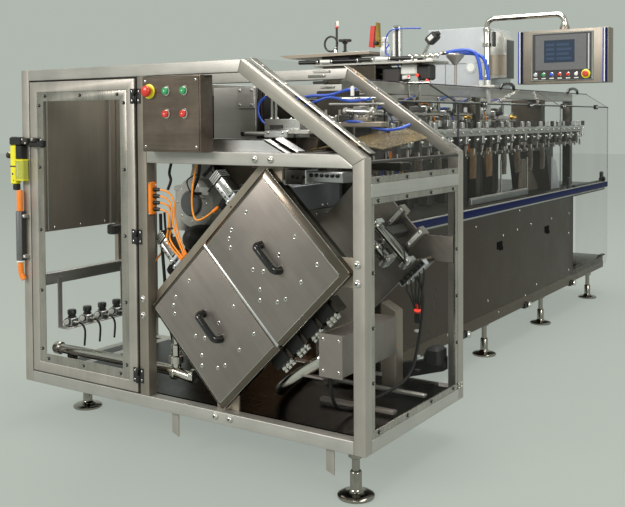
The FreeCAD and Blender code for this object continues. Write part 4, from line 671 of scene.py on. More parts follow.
def drive_covers(sizes):
    """Bevelled covers with recessed screws, the strip between them and two bow handles."""
    for name, first, last, edges in COVERS:
        pan = Piece(name + "_pan", "machine", "brushed_stainless", name)
        rim = [cover_ring(first, last, *level) for level in RIM_LEVELS]
        face = [cover_ring(first, last, *level) for level in FACE_LEVELS]
        # The bevel gets the darker copy of the cover steel, which is painted shade.
        pan.loft(DIAMOND(rim), "shaded_cover_rim", False)
        pan.loft(DIAMOND(face), "cover", False)
        # Thin chrome rods along the face's fold and the rim's outer edge are painted highlights:
        # they stand for the bright lines of rounded folds.
        for corner, inner, outer in edges:
            for ring, radius in ((rim[3], inner), (rim[1], outer)):
                pan.rod(ring[corner], ring[corner + 1], radius, "chrome", 8, DIAMOND)
        pan.done()
    coat("drive_housing", "shade_steel")
    rounded("mount_plate_edges", "drive_mount_plate", 1.5, "panel_steel")
    seam = Piece("cover_seam_strip", "machine", "strip_steel")
    seam.block((-12, 406, -30), (498, 420, -1.6), "aluminium", DIAMOND, 3)
    seam.done()
    spots = [(41, 158), (42, 261), (58, 295), (87, 315), (259, 54), (259, 158), (219, 292),
            (256, 259), (396, 52), (396, 153), (295, 321), (324, 351), (380, 291), (396, 254)]
    screws = Piece("cover_screws")
    for along, down in spots + [(a, d + 415) for a, d in spots]:
        # The dark disc in each screw's recess is painted shade in the socket.
        screws.turns((
            ((along, down, 0), UPWARD, [(8, -1), (8, 0.8), (7, 1.3), (5, 0.6)], "chrome", 14),
            ((along, down, 0), UPWARD, [(3.4, 0), (3.2, 1.2)], "dark", 6)), DIAMOND)
    screws.done()
    grips = Piece("bow_handles", "machine", "black_plastic", "cover_handles")
    for along, down in ((175, 197), (181, 611)):
        grips.pipe([(along, down, 1), (along + 1, down, 18), (along + 9, down, 33),
                (along + 26, down, 36), (along + 63, down, 37), (along + 100, down, 36),
                (along + 117, down, 33), (along + 125, down, 18), (along + 126, down, 1)],
                [18, 16, 15, 14, 14, 14, 15, 16, 18], "gloss_black", 5, 20, DIAMOND)
    grips.done()


def slide(piece, down, reach, lower):
    """One slide cylinder in the drive unit's directions, its block ribbed at the head."""
    top = -58.0
    start, end = -reach, 24.0
    for step in range(4):
        piece.block((start + step * 9, down - 2, top - 56),
                (start + step * 9 + 6, down + 54, top + 2), "bright", DIAMOND, 1.5)
    piece.blocks((
        ((start + 4, down + 3, top - 50), (start + 40, down + 49, top - 4), "dark"),
        ((start + 40, down - 2, top - 60), (start + 118, down + 30, top + 4), "bright", 3),
        ((start + 40, down + 33, top - 56), (start + 126, down + 54, top), "aluminium", 2),
        ((start + 118, down + 2, top - 58), (end, down + 26, top - 6), "aluminium"),
        ((start + 36, down + 29, top - 30), (end - 10, down + 34, top - 2), "dark", 1)), DIAMOND)
    for offset in (12, 18):
        piece.block((start + 44, down + offset, top + 3.5),
                (start + 114, down + offset + 2, top + 4.6), "dark", DIAMOND, 0.3)
    piece.screw([(start + 54 + 20 * i, down + 6, top + 4) for i in range(4)], UPWARD, 4, 2,
            seat=DIAMOND)
    piece.screw([(start + 60 + 24 * i, down + 44, top) for i in range(3)], UPWARD, 4, 3, "dark",
            "black", DIAMOND)
    for offset in (128, 154):
        piece.block((start + offset, down - 3, top - 58), (start + offset + 12, down + 57, top + 6),
                "pale", DIAMOND, 2)
        piece.turned((start + offset + 6, down + 44, top + 6), UPWARD, [(6, 0), (6, 3), (4, 4)],
                "chrome", 14, DIAMOND)
    piece.block((start + 140, down + 30, top - 50), (start + 156, down + 56, top + 2), "black",
            DIAMOND, 2)
    for step in range(6):
        offset = 58 + step * 7
        piece.turned((-90 + step * 1.0, down + offset, top - 26), (0, 1, 0), [(20, 0), (25, 2),
                (25, 4), (20, 6)], "rubber", 14, DIAMOND)
    if lower:
        piece.block((start - 6, down + 20, top - 34), (start + 4, down + 44, top - 12), "black",
                DIAMOND, 2)


def slides_and_block(sizes):
    """Slide cylinders at the drive unit, the orange lead block and its black plugs."""
    piece = Piece("slide_cylinder_bodies", "machine", "aluminium", "slide_cylinders")
    slide(piece, 186, 206, False)
    slide(piece, 588, 235, True)
    for along, down, long in ((262, 60, 236), (325, 127, 106)):
        for side, radius in ((-17, 9), (17, 9), (0, 19)):
            piece.rod((along, down + side, -598), (along + long, down + side, -598), radius,
                    "chrome", seat=DIAMOND)
        for offset in (0, long - 24):
            piece.block((along + offset, down - 30, -628), (along + offset + 24, down + 30, -570),
                    "bright", DIAMOND, 3)
            piece.turned((along + offset + 12, down - 20, -570), UPWARD, [(9, 0), (9, 8), (6, 9),
                    (6, 20), (8, 21), (8, 26)], "chrome", 12, DIAMOND)
        piece.block((along + 44, down - 22, -775), (along + 88, down + 22, -598), "dark", DIAMOND)
        piece.pipe([(along + long - 12, down - 20, -548), (along + long - 4, down - 24, -530),
                (along + long - 60, down - 60, -540), (along + 60, down - 44, -560)], 3.5, "rubber",
                seat=DIAMOND)
    piece.done()
    block = Piece("lead_distributor", "machine", "orange_plastic", "lead_block")
    block.block((783, 5, 980), (800, 44, 1117), "orange", edge=4)
    for index in range(8):
        z = 990 + index * 16.2
        block.turned((800, 36, z), RIGHT, [(4, 0), (4, 2), (2.5, 3)], "white", 10)
    for index in range(4):
        z = 1003 + 27.4 * index
        block.turned((800, 25, z), RIGHT, [(9, 0), (9, 8), (7.5, 9), (7.5, 28), (5, 34)], "black",
                16)
        for ring in range(4):
            block.turned((810 + ring * 4, 25, z), RIGHT, [(8.2, 0), (8.2, 1.6)], "rubber", 16)
    for z in (984, 1112):
        block.turned((791, 4, z), FRONT, [(4, 0), (3, 2)], "chrome", 10)
    block.done()


def orange_leads(sizes):
    """Orange leads from the block to the slides, with their tips, and the black leads' tie."""
    tips = Piece("lead_tips", "machine", "orange_plastic")
    for index in range(4):
        plug_z = 1003 + 27.4 * index
        pair = 18 if index > 1 else 0
        back = 10 * (index % 2)
        down = (580 - 10 * index) * HALF
        spots = [(835, 25, plug_z), (880 + 5 * index + pair / 3, 31 + back, plug_z - 3),
                (864 + 7 * index + pair / 3, 41 + back, 920)]
        if index < 2:
            spots.append((846 + 6 * index, 41 + back, 862 + 8 * index))
        spots.append((1337.1 - down, 55, 1205.9 - down))
        free_cord(f"orange_lead_{index + 1}", "orange_leads", spots, 4,
                "orange_lead")
        end = np.array(spots[-1])
        run = (end - np.array(spots[-2])) / np.linalg.norm(end - np.array(spots[-2]))
        tips.rod(end - run * 22, end - run * 2, 6.5, "orange")
    loop = [(985, 84, 1196), (962, 78, 1100), (963, 76, 985), (1002, 74, 948), (1107, 74, 1023.5)]
    free_cord("orange_loop", "orange_leads", loop, 4, "orange_lead")
    tips.rod((1075, 74, 1001), (1105, 74, 1022), 7, "orange")
    low = [(806, 84, 831.5), (745, 78, 771), (712, 72, 705), (775, 55, 653.6)]
    free_cord("orange_low_loop", "orange_leads", low, 4, "orange_lead")
    tips.done()
    ties = Piece("lead_ties", "machine", "black_plastic")
    ties.turned((875, 44, 922), UPWARD, [(15, 0), (15, 5)], "black", 14)
    ties.done()


def blue_hoses(sizes):
    """Blue air loop behind the mid rail and the two hoses on top."""
    free_cord("blue_air_loop", "blue_hoses", [(1222.4, 260, 1471), (1172, 258, 1455),
            (1171, 256, 1378), (1212.4, 256, 1353)], 5, "hose_blue")
    free_cord("blue_hose_front", "blue_hoses", [(1000, 2450, 1786.8), (1130, 2450, 1808),
            (1222, 2450, 1760), (1228, 2450, 1608.6)], 11, "hose_blue")
    free_cord("blue_hose_back", "blue_hoses", [(1072, 2480, 1779), (1180, 2480, 1780),
            (1257, 2480, 1730), (1264, 2480, 1608.8)], 11, "hose_blue")


def picking_arm(sizes):
    """Rounded grey casting of the picking arm, its motor and black cables."""
    arm = Piece("picking_arm_casting", "machine", "grey_paint", "picking_arm")
    arm.turns((
        ((740, 480, 1000), FRONT, [(96, 0), (116, 8), (120, 40), (120, 110), (112, 134), (92, 147),
            (60, 150)], "grey", 36),
        ((740, 330, 1000), FRONT, [(58, -2), (58, 8), (52, 14), (20, 15)], "mid_grey", 28)))
    arm.screw([(740 + 84 * math.cos(a), 335, 1000 + 84 * math.sin(a)) for a in
            np.radians(np.arange(0, 360, 45))], FRONT, 6, 4)
    arm.turns((
        ((740, 410, 1000), UPWARD, [(62, 40), (58, 120), (50, 150), (50, 188)], "grey", 26),
        ((650, 380, 930), UPWARD, [(30, -60), (38, -40), (38, 120), (44, 124), (44, 140),
            (34, 146)], "grey", 24),
        ((786, 460, 846), FRONT, [(48, 0), (60, 10), (60, 150), (54, 180), (38, 204), (14, 214)],
            "dark", 32)))
    arm.blocks((
        ((792, 322, 1040), (846, 326, 1076), "white", 2),
        ((700, 326, 1010), (716, 330, 1046), "yellow", 1)))
    arm.done()
    cables = Piece("inner_cables", "machine", "black_plastic")
    cables.pipe([(1010, 160, 1197), (1000, 150, 1170), (980, 130, 1140)], 7, "rubber")
    cables.pipe([(822, 110, 1196), (815, 104, 1150), (830, 96, 1120), (818, 90, 1080)], 6, "rubber")
    cables.pipe([(980, 96, 1150), (950, 92, 1140), (925, 90, 1115), (960, 88, 1060),
            (1020, 90, 1050)], 3, "rubber")
    cables.pipe([(1020, 96, 1160), (1060, 92, 1165), (1068, 90, 1120), (1040, 88, 1080)], 3,
            "rubber")
    cables.pipe([(803, 60, 980), (797, 70, 880), (800, 84, 700), (796, 100, 560), (800, 140, 400)],
            7, "rubber")
    cables.pipe([(812, 74, 985), (816, 80, 900), (846, 92, 830)], 5, "rubber")
    cables.done()
    free_cord("arm_cable", "black_leads", [(905, 198, 1235), (905, 198, 1150), (860, 205, 1075),
            (800, 254, 1047), (800, 330, 1047)], 7, "rubber")


def inner_fittings(sizes):
    """Side panel, regulators, pipes with couplings, stands and the tray inside the frame."""
    rounded("side_panel_sheet", "left_side_panel", 1.5, "panel_steel")
    coat("floor_tray", "tray")
    rounded("inner_stand_steel", "inner_stands", 3, lambda c:
            (("panel_steel", "cover"), (c[:, 0] > 1598).astype(int)))
    trims = Piece("side_panel_trims")
    trims.blocks((
        ((51, 100, 860), (54, 104, 1556), "bright", 0.5),
        ((50, 488, 852), (62, 498, 1556), "steel_z"),
        ((50, 612, 700), (72, 640, 1556), "panel_steel", 4),
        ((50, 470, 800), (96, 560, 850), "dark", 6)))
    trims.screw([(50, y, 870) for y in (140, 300, 460)], RIGHT, 5, 3)
    trims.block((50, 60, 655), (80, 780, 662), "steel_y", edge=2)
    trims.screw([(1683, 61.5, z) for z in (436, 554)] + [(1614, 61.5, z) for z in (436, 554)],
            FRONT, 8, 5)
    trims.blocks((
        ((1596, 58, 411), (1701, 63, 578), "cover", 2),
        ((1604, 63, 412), (1608, 300, 577), "panel_steel")))
    trims.done()
    row = Piece("air_regulators", "machine", "black_plastic", "regulator_row")
    row.block((50, 150, 386), (116, 585, 392), "steel_y")
    for y in (150, 559):
        row.block((50, y, 388), (56, y + 26, 630), "steel_z")
    for index in range(4):
        y = 204 + index * 97
        row.block((66, y - 24, 392), (110, y + 24, 432), "aluminium", edge=4)
        row.turns((
            ((88, y, 432), UPWARD, [(20, 0), (20, 6), (17, 8), (17, 14), (21, 16), (21, 34),
                (18, 38)], "black", 18),
            ((88, y - 24, 414), (0.4, -1, 0.2), [(8, -6), (8, 6), (17, 8), (17, 16), (15, 18)],
                "dark", 18),
            ((94.4, y - 40, 417.2), (0.4, -1, 0.2), [(14, 0), (13, 1.4)], "white", 18),
            ((112, y + 8, 410), RIGHT, [(8, -4), (8, 10), (6, 11), (6, 20)], "chrome", 12)))
        row.pipe([(130, y + 8, 410), (150, y + 10, 402), (160, y + 16, 370), (150, y + 20, 300)], 5,
                "rubber")
    row.done()
    pipes = Piece("polished_tubes", "machine", "brushed_stainless", "polished_pipes")
    pipes.rod((84, 104, 310), (624, 104, 310), 22, "polished", 24)
    pipes.pipe([(624, 104, 310), (700, 104, 310), (790, 103, 309), (840, 102, 306),
            (930, 100, 296)], 22, "polished", 4, 24)
    for x, wide in ((96, 30), (560, 22), (826, 20), (930, 22)):
        pipes.turned((x, 104, 310 if x < 800 else 302), RIGHT, [(27, 0), (30, 3), (30, wide - 3),
                (27, wide)], "polished", 24)
    pipes.turns((
        ((838, 110, 300), UPWARD, [(20, -10), (20, 40), (30, 44), (30, 72), (22, 76), (22, 120),
            (15, 124), (15, 250)], "polished", 20),
        ((838, 110, 344), UPWARD, [(33, 0), (33, 28)], "steel_z", 6)))
    pipes.block((184, 87, 217), (218, 121, 300), "shade_steel")
    rise = [(1150, 800, 246), (1165, 640, 248), (1202, 484, 252), (1262, 300, 262),
            (1350, 160, 300), (1440, 104, 362), (1520, 92, 420), (1604, 92, 470)]
    pipes.pipe(rise, 25, "polished", 6, 28)
    pipes.turned((1588, 92, 467), (0.97, 0, 0.2), [(27, -6), (28, -4), (28, 4), (27, 6)],
            "polished", 28)
    pipes.block((1500, 70, 395), (1604, 92, 405), "cover")
    pipes.done()


def film_arch():
    """Rings of the film web along x: a thin sheet whose height over each edge's base is its
    arch times sin(0.9 pi share) to the power 0.7."""
    share = np.linspace(0, 1, 24)
    x = 1450 + 330 * share
    rise = np.sin(share * math.pi * 0.9) ** 0.7
    edges = ((220, 1251, 22), (600, 1262, 76), (600, 1259, 76), (220, 1248, 22))
    return np.stack([np.stack([x, y + 0 * x, base + arch * rise], 1) for y, base, arch in edges], 1)


def transfer_bed(sizes):
    """Channel, bed, upright plate, rods and blocks behind the mid rail."""
    bed = Piece("transfer_bed_parts", "machine", "brushed_stainless", "transfer_slide")
    bed.plate([(783, 1197), (1451, 1197), (1451, 1247), (1347, 1297), (783, 1297)], 60, 64,
            "aluminium")
    bed.plate([(783, 1293), (1347, 1293), (1345, 1297), (783, 1297)], 60, 98, "bright")
    bed.plate([(1347, 1290), (1451, 1240), (1453, 1246), (1350, 1297)], 60, 96, "bright")
    bed.plate([(1370, 1297), (1474, 1247), (1478, 1252), (1374, 1303)], 104, 150, "aluminium")
    bed.blocks((
        ((600, 100, 1235), (1560, 700, 1247), "shade_steel"),
        ((898, 300, 1247), (1127, 312, 1512), "steel_x", 2),
        ((1036, 290, 1421), (1127, 300, 1512), "bright", 2)))
    bed.screw([(x, 290, z) for x in (1050, 1113) for z in (1435, 1498)], FRONT, 8, 5, "steel_x")
    bed.blocks((
        ((1127, 312, 1247), (1200, 330, 1540), "dark"),
        ((1140, 305, 1247), (1156, 312, 1540), "shade_steel")))
    for x in (1212, 1232):
        bed.rod((x, 300, 1247), (x, 300, 1545), 6, "polished")
    bed.blocks((
        ((1215, 240, 1330), (1390, 310, 1376), "bright", 3),
        ((1245, 236, 1336), (1310, 241, 1352), "dark", 1),
        ((1245, 250, 1247), (1335, 300, 1330), "shade_steel"),
        ((1300, 236, 1300), (1400, 300, 1332), "aluminium", 2)))
    bed.screw([(x, 270, 1376) for x in (1228, 1262, 1330, 1372)], UPWARD, 6, 5)
    bed.rod((1136, 200, 1315), (1264, 200, 1316), 9, "steel_x")
    bed.blocks((
        ((1130, 188, 1306), (1150, 212, 1326), "black", 3),
        ((1258, 180, 1300), (1372, 230, 1330), "aluminium", 3),
        ((1372, 186, 1316), (1470, 226, 1332), "steel_x", 2)))
    bed.screw([(1280, 180, 1320), (1350, 180, 1320)], FRONT, 5, 3)
    bed.plate([(1384, 1302), (1480, 1302), (1468, 1256), (1410, 1240)], 246, 262, "shade_steel")
    bed.turns((
        ((1214, 256, 1353), (-0.3, 0, 1), [(7, -6), (7, 8), (5, 10)], "chrome", 12),
        ((1218, 260, 1472), RIGHT, [(7, -6), (7, 10), (5, 12)], "chrome", 12)))
    bed.done()
    heads = Piece("sloped_window_machinery", "machine", "aluminium")
    for low, high, look in (((1290, 460, 1340), (1640, 520, 1362), "panel_steel"),
            ((1320, 470, 1362), (1400, 510, 1384), "bright"), ((1430, 470, 1362), (1480, 510, 1392),
            "dark"), ((1510, 470, 1362), (1570, 510, 1380), "panel_steel"), ((1260, 400, 1247),
            (1330, 520, 1340), "dark"), ((1400, 420, 1247), (1440, 520, 1340), "shade_steel"),
            ((1480, 520, 1247), (1560, 600, 1340), "dark"), ((1210, 640, 1280), (1400, 700, 1500),
            "shade_steel"), ((1400, 640, 1247), (1440, 700, 1430), "steel_z")):
        heads.block(low, high, look, edge=3)
    heads.rod((1440, 500, 1408), (1590, 500, 1400), 13, "polished", 18)
    for x in (1450, 1578):
        heads.turned((x, 500, 1405), RIGHT, [(16, -8), (17, -6), (17, 6), (16, 8)], "steel_x", 16)
    heads.rod((1380, 560, 1462), (1560, 560, 1462), 7, "polished")
    heads.rod((1330, 560, 1438), (1600, 560, 1436), 6, "steel_x")
    heads.screw([(1340 + 34 * i, 490, 1384) for i in range(8)], UPWARD, 6, 6)
    for x in (1350, 1420, 1500, 1560):
        heads.turned((x, 500, 1384), UPWARD, [(9, -20), (9, 8), (6, 10), (6, 30)], "steel_z", 12)
    heads.turns((
        ((1420, 470, 1350), (0.9, -0.3, 0.1), [(8, 0), (8, 30), (6, 32)], "chrome", 14),
        ((1500, 470, 1500), UPWARD, [(8, -30), (8, 4), (6, 10)], "white", 14)))
    for index in range(5):
        heads.rod((1595 + index * 24, 560, 1060), (1590 + index * 24, 560, 1180), 4 + index % 2,
                ("hose_blue", "steel_z", "white", "hose_blue", "brass")[index])
    heads.done()
    tubes = Piece("blue_air_lines", "machine", "blue_hose")
    for points in (((1217, 480, 1462), (1300, 470, 1474), (1381, 480, 1476), (1446, 500, 1494),
            (1490, 520, 1500)), ((1263, 480, 1435), (1320, 470, 1450), (1386, 480, 1466),
            (1470, 500, 1450), (1560, 520, 1458)), ((1450, 480, 1356), (1500, 460, 1364),
            (1560, 470, 1356), (1640, 480, 1330), (1700, 500, 1334), (1730, 540, 1350)),
            ((1452, 484, 1350), (1540, 470, 1356), (1604, 470, 1338), (1660, 500, 1322))):
        tubes.pipe(points, 6, "hose_blue", 6, 12)
    tubes.done()
    web = Piece("film_web", "machine", None)
    web.loft(film_arch(), "web")
    web.done()
    light = Piece("work_bed_parts")
    for low, high, look in (((1380, 150, 1120), (1480, 240, 1180), "bright"), ((1480, 160, 1130),
            (1640, 240, 1172), "aluminium"), ((800, 600, 950), (1100, 1012, 1070), "grey_steel"),
            ((800, 606, 872), (1090, 1008, 950), "cover"), ((1440, 520, 1160), (1700, 600, 1195),
            "shade_steel")):
        light.block(low, high, look, edge=3)
    light.screw([(1420 + 26 * i, 150, 1150 - 4 * (i % 2)) for i in range(3)], FRONT, 7, 6, "dark")
    light.screw([(1500 + 24 * i, 160, 1158) for i in range(6)], FRONT, 8, 10, "black", "dark")
    light.screw([(1090, y, 925) for y in (700, 820, 900, 960)] + [(1100, y, 965) for y in
            (860, 900)], RIGHT, 6, 4)
    light.done()
    drive = Piece("under_drive_blocks", "machine", "aluminium")
    for index in range(4):
        down = 140 + index * 96
        drive.blocks((
            ((492, down, -130), (552, down + 18, -66), "shade_steel", 2),
            ((492, down + 22, -124), (546, down + 104, -70), "rubber", 3)), DIAMOND)
        for low in (36, 60, 84):
            drive.turned((548, down + low, -96), RIGHT, [(13, -6), (13, 12), (9, 14), (9, 24)],
                    "chrome", 12, DIAMOND)
    drive.done()


def rear_drive(sizes):
    """Rear plate, its light bars, the valve bar and its harness of black leads."""
    rounded("rear_plate_steel", "rear_drive_plate", 1.5, "dark_plate")
    bars = Piece("rear_plate_bars", "machine", "aluminium")
    for along in (252, 380):
        bars.block((along + 11, -24, -736), (along + 29, 72, -729), "white", DIAMOND, 2)
        bars.screw([(along + 20, d, -729) for d in (-14, 62)], UPWARD, 6, 5, "chrome", "dark",
                DIAMOND)
    bars.done()
    low, high = np.array([1607.0, 700, 664]), np.array([1718.0, 700, 765])
    run = (high - low) / np.linalg.norm(high - low)
    seat = Seat(low, (run, FRONT, np.cross(run, FRONT)))
    side = 1 if seat.axes[2][2] < 0 else -1
    valves = Piece("valve_bar", "machine", "aluminium")
    valves.blocks((
        ((-6, -16, -14), (156, 14, 14), "pale", 3),
        ((-6, -90, -8), (156, -16, 8), "shade_steel", 2)), seat)
    leads = Piece("valve_leads", "machine", "black_plastic")
    for index in range(5):
        share = 22 + index * 27
        valves.turns((
            ((share, 14, 0), (0, 1, 0), [(8, -2), (8, 2), (5, 3)], "dark", 12),
            ((share, 2, 14 * side), UPWARD, [(7, -8), (7, 8)], "chrome", 12)), seat)
        start = seat((share, 4, 16 * side))
        leads.pipe([start, start + (4, -4, -34), (1650 + index * 14, 690, 626 - 4 * abs(index - 2)),
                (1669 + index * 5, 700, 560), (1672 + index * 4, 700, 500)], 4.5, "rubber")
    for z, look in ((560, "lamp"), (552, "red"), (470, "white"), (360, "pale"), (300, "rubber")):
        leads.turned((1681, 700, z), (0, 0, -1), [(13, 0), (14, 1), (14, 7), (13, 8)], look, 14)
    leads.done()
    free_cord("valve_harness", "black_leads", [(1670.4, 700, 707.2), (1706.4, 700, 671.2),
            (1710.4, 698, 570.2), (1692.4, 690, 417.2), (1672.4, 650, 270.2), (1628, 490, 235),
            (1617, 355, 232), (1612, 235, 236), (1612, 112, 290), (1612, 112, 417)], 7,
            "rubber")
    valves.block((1676, 690, 556), (1688, 700, 584), "red", edge=2)
    valves.done()
    clip = Piece("orange_clip", "machine", "orange_plastic")
    clip.pipe([(1512, 660, 366), (1524, 655, 404), (1536, 655, 364), (1552, 655, 402)], 6, "orange",
            6, 8)
    clip.pipe([(1546, 655, 390), (1572, 660, 394), (1594, 690, 392)], 3, "orange", 6, 8)
    clip.done()
    motor = Piece("under_motor", "machine", "black_plastic")
    motor.plate([(1500, 217), (1570, 232), (1781, 296), (1781, 352), (1570, 300), (1500, 262)], 745,
            790, "rubber")
    motor.block((1716, 700, 322), (1781, 790, 398), "rubber", edge=10)
    motor.turned((1781, 730, 350), (-1, 0, 0), [(20, 60), (26, 64), (26, 74), (18, 78)], "black",
            20)
    motor.blocks((
        ((1560, 740, 217), (1740, 785, 232), "shade_steel"),
        ((1440, 300, 229), (1780, 330, 243), "cover"),
        ((1300, 560, 229), (1781, 590, 240), "steel_x")))
    motor.done()


def machine_base(sizes):
    """Base cabinet with its seams, slots and dots, the blue rails and the corner balls."""
    base = Piece("base_cabinet_sheets", "machine", "base_steel", "base_cabinet")
    base.blocks((
        ((240, 841, 192), (1420, 3660, 835), "base_steel", 4),
        ((240, 841, 835), (1420, 4440, 865), "shade_steel", 3),
        ((240, 3660, 200), (1412, 4438, 296), "base_steel", 10),
        ((1402, 841, 192), (1421.5, 3660, 262), "base_ledge", 3),
        ((1402, 3664, 200), (1414, 4436, 250), "base_ledge", 3)))
    base.done()
    rounded("blue_rail_bars", "blue_side_rails", 4, "rail_blue")
    trim = Piece("base_trims")
    trim.blocks((
        ((1420, 841, 822), (1428, 4440, 834.5), "steel_y", 1.5),
        ((1420, 841, 812), (1421, 4440, 822), "dark", 0.3),
        ((1419.5, 3640, 264), (1420.6, 3643, 812), "dark", 0.3)))
    # Each slot is a pair of flush black patches: painted shade in the opening.
    for y, z in ((2280, 628), (3101, 637)):
        trim.blocks((
            ((1419, y - 44, z - 22), (1422, y + 36, z + 22), "void", 0.8),
            ((1419, y - 6, z - 32), (1423, y + 44, z - 10), "void", 0.8)))
    dots = [(1420, y, z) for y, z in ((1480, 770), (1930, 772), (2330, 680), (2560, 690),
            (2800, 700), (3190, 700), (2600, 806), (1560, 240), (2260, 236), (2700, 262),
            (3560, 300), (3560, 560), (3560, 700), (2100, 330), (2900, 300))]
    trim.screw(dots, RIGHT, 7, 4)
    for y in (1794, 2730, 3635):
        trim.block((1390, y - 50, 180), (1428, y + 18, 214), "black", edge=3)
        trim.turned((1434, y + 8, 197), RIGHT, [(8, -14), (17, -8), (21, 0), (17, 9), (8, 14)],
                "chrome", 20)
    trim.block((1400, 4330, 296), (1430, 4436, 306), "dark", edge=3)
    trim.done()


def levelling_feet(sizes):
    """Turned pads with a rolled rim, sleeves and lock nuts under the frame and base."""
    spots = (("front_feet", ((1767, 39, 167), (149, 241, 167))), ("body_feet", tuple((x, y, 194)
            for y in (2152, 3107, 4150) for x in (1375, 285))))
    for node, feet in spots:
        piece = Piece(node + "_turned", "machine", "foot_steel", node)
        for x, y, under in feet:
            piece.turns((
                ((x, y, 0), UPWARD, [(62, 0), (67, 2), (69, 6), (68, 11), (60, 16), (46, 19),
                    (32, 22), (25, 28), (23, 32), (22, 36), (22, 94), (20, 97), (15, 99),
                    (15, under - 24), (15, under)], "foot", 40),
                ((x, y, under - 22), UPWARD, [(24, 0), (27, 2), (27, 19), (24, 22)], "foot", 6),
                ((x, y, 96), UPWARD, [(17, 0), (17.6, 1.5), (17.6, 3.5), (17, 5)], "dark", 24)))
        piece.done()


def handle_arch(y0, y1):
    """Centre line of a bow handle on the guards: straight from y0 to y1, raised by
    sin(pi share) to the power 0.4."""
    share = np.linspace(0, 1, 13)[:, None]
    start, end = np.array([1277.0, y0, 1560]), np.array([1277.0, y1, 1560])
    return start + (end - start) * share + np.array([6, 0, 34]) * np.sin(share * math.pi) ** 0.4


def clear_guards(sizes):
    """Clear windows and guards with their cut edges, strips, dome screws and handles."""
    coat("sloped_window", "slope_sheet")
    coat("side_windows", "clear")
    coat("side_guards", "guard")
    rims = Piece("guard_rims", "machine", "clear_sheet")
    # The cut edges are lines of painted shade, paler on the guards further back.
    for y0, y1 in ((847, 850), (1641, 1644), (1650, 1654), (3296, 3300), (3306, 3310),
            (4436, 4440)):
        rims.plate([(1446, 876), (1446, 1455), (1277, 1560), (1277, 1552), (1438, 1451),
                (1438, 876)], y0, y1, "edge" if y1 < 1650 else "pale_edge")
    for y0, y1 in ((847, 1644), (1650, 3300), (3306, 4440)):
        rims.blocks((
            ((1440, y0, 1450), (1447, y1, 1457), "rubber", 2),
            ((1434, y0, 1458), (1440, y1, 1462), "chrome", 1),
            ((1274, y0, 1556), (1281, y1, 1563), "edge", 1)))
    rims.block((1436, 841, 875), (1446, 4440, 881), "steel_y", edge=1)
    rims.done()
    strips = Piece("window_strips", "machine", "strip_steel")
    for low, high in (((1819, 50, 1141), (1828, 791, 1166)), ((1819, 50, 1066), (1828, 791, 1091)),
            ((1819, 50, 217), (1828, 791, 243)), ((1819, 50, 243), (1828, 74, 1066)),
            ((1819, 767, 243), (1828, 791, 1066))):
        strips.block(low, high, "strip", edge=1)
    strips.block((1818, 50, 1214), (1832, 791, 1226), "dark", edge=3)
    for y in (52, 752):
        strips.block((0, y - 2, 6.5), (646, y + 40, 9.5), "strip", SLOPE, 1)
    # The chrome discs on the black heads are painted highlights.
    strips.screw([(1828, y, z) for z in (1153, 1078, 230) for y in (104, 329, 536, 745)] +
            [(1828, y, z) for y in (62, 779) for z in (420, 620, 820)], RIGHT, 7.5, 5, "black",
            "chrome")
    strips.screw([(x, y, 9.5) for y in (70, 772) for x in (60, 190, 320, 450, 580)], UPWARD, 8, 5,
            "steel_x", "dark", SLOPE)
    strips.done()
    grip = Piece("guard_handles", "machine", "black_plastic")
    for y0, y1 in ((3960, 4200), (2640, 2870)):
        grip.pipe(handle_arch(y0, y1), 11, "gloss_black", 2, 12)
    low = Piece("low_end_guard", "machine", "clear_sheet", "end_guard")
    turn = np.radians(np.linspace(0, 90, 9))
    corner = [(4360 + 70 * math.sin(a), 311 - 70 * math.cos(a)) for a in turn]
    low.plate([(3650, 835), (3650, 241)] + corner + [(4430, 835)], 1438, 1446, "guard",
            order=(1, 2, 0))
    low.done()
    for y in (1960, 2700, 3330, 4100):
        grip.block((1430, y, 1436), (1449, y + 60, 1470), "black", edge=4)
        grip.turns((
            ((1449, y + 14, 1452), RIGHT, [(5, 0), (4, 3)], "chrome", 12),
            ((1449, y + 46, 1452), RIGHT, [(5, 0), (4, 3)], "chrome", 12)))
    for y in (3484, 3620, 4282):
        grip.block((1424, y, 875), (1445, y + 44, 960 if y != 3620 else 900), "black", edge=5)
    grip.block((1405, 3640, 876), (1436, 4330, 892), "black", edge=5)
    grip.turned((1436, 4320, 900), (0, 1, 0), [(20, -14), (24, -10), (24, 10), (20, 14)], "black",
            20)
    grip.done()


def station_spot(index):
    """A station's place along the machine and its height."""
    return 1020 + 245 * index, 1490 - 24 * (index % 3)


def hanging_pouch(index):
    """Rings of one pouch, from its grip at share 0 to its foot at share 1: an eight-sided outline
    of even width, half as thick as 3 + 9 sin(0.9 pi share) mm, that leans aside in step with
    the share."""
    share = np.linspace(0, 1, 9)
    half = 3 + 9 * np.sin(share * math.pi * 0.9)
    tall = 1199 - 176 * share
    lean = 4 * np.sin(index * 1.7) * share
    first = 941 + 118 * index
    return np.stack([np.stack([1300 + part * half, first + wide * 95 + lean, tall], 1) for part,
            wide in ((0, 0), (0.8, 0.2), (1, 0.5), (0.8, 0.8), (0, 1), (-0.8, 0.8), (-1, 0.5),
            (-0.8, 0.2))], 1)


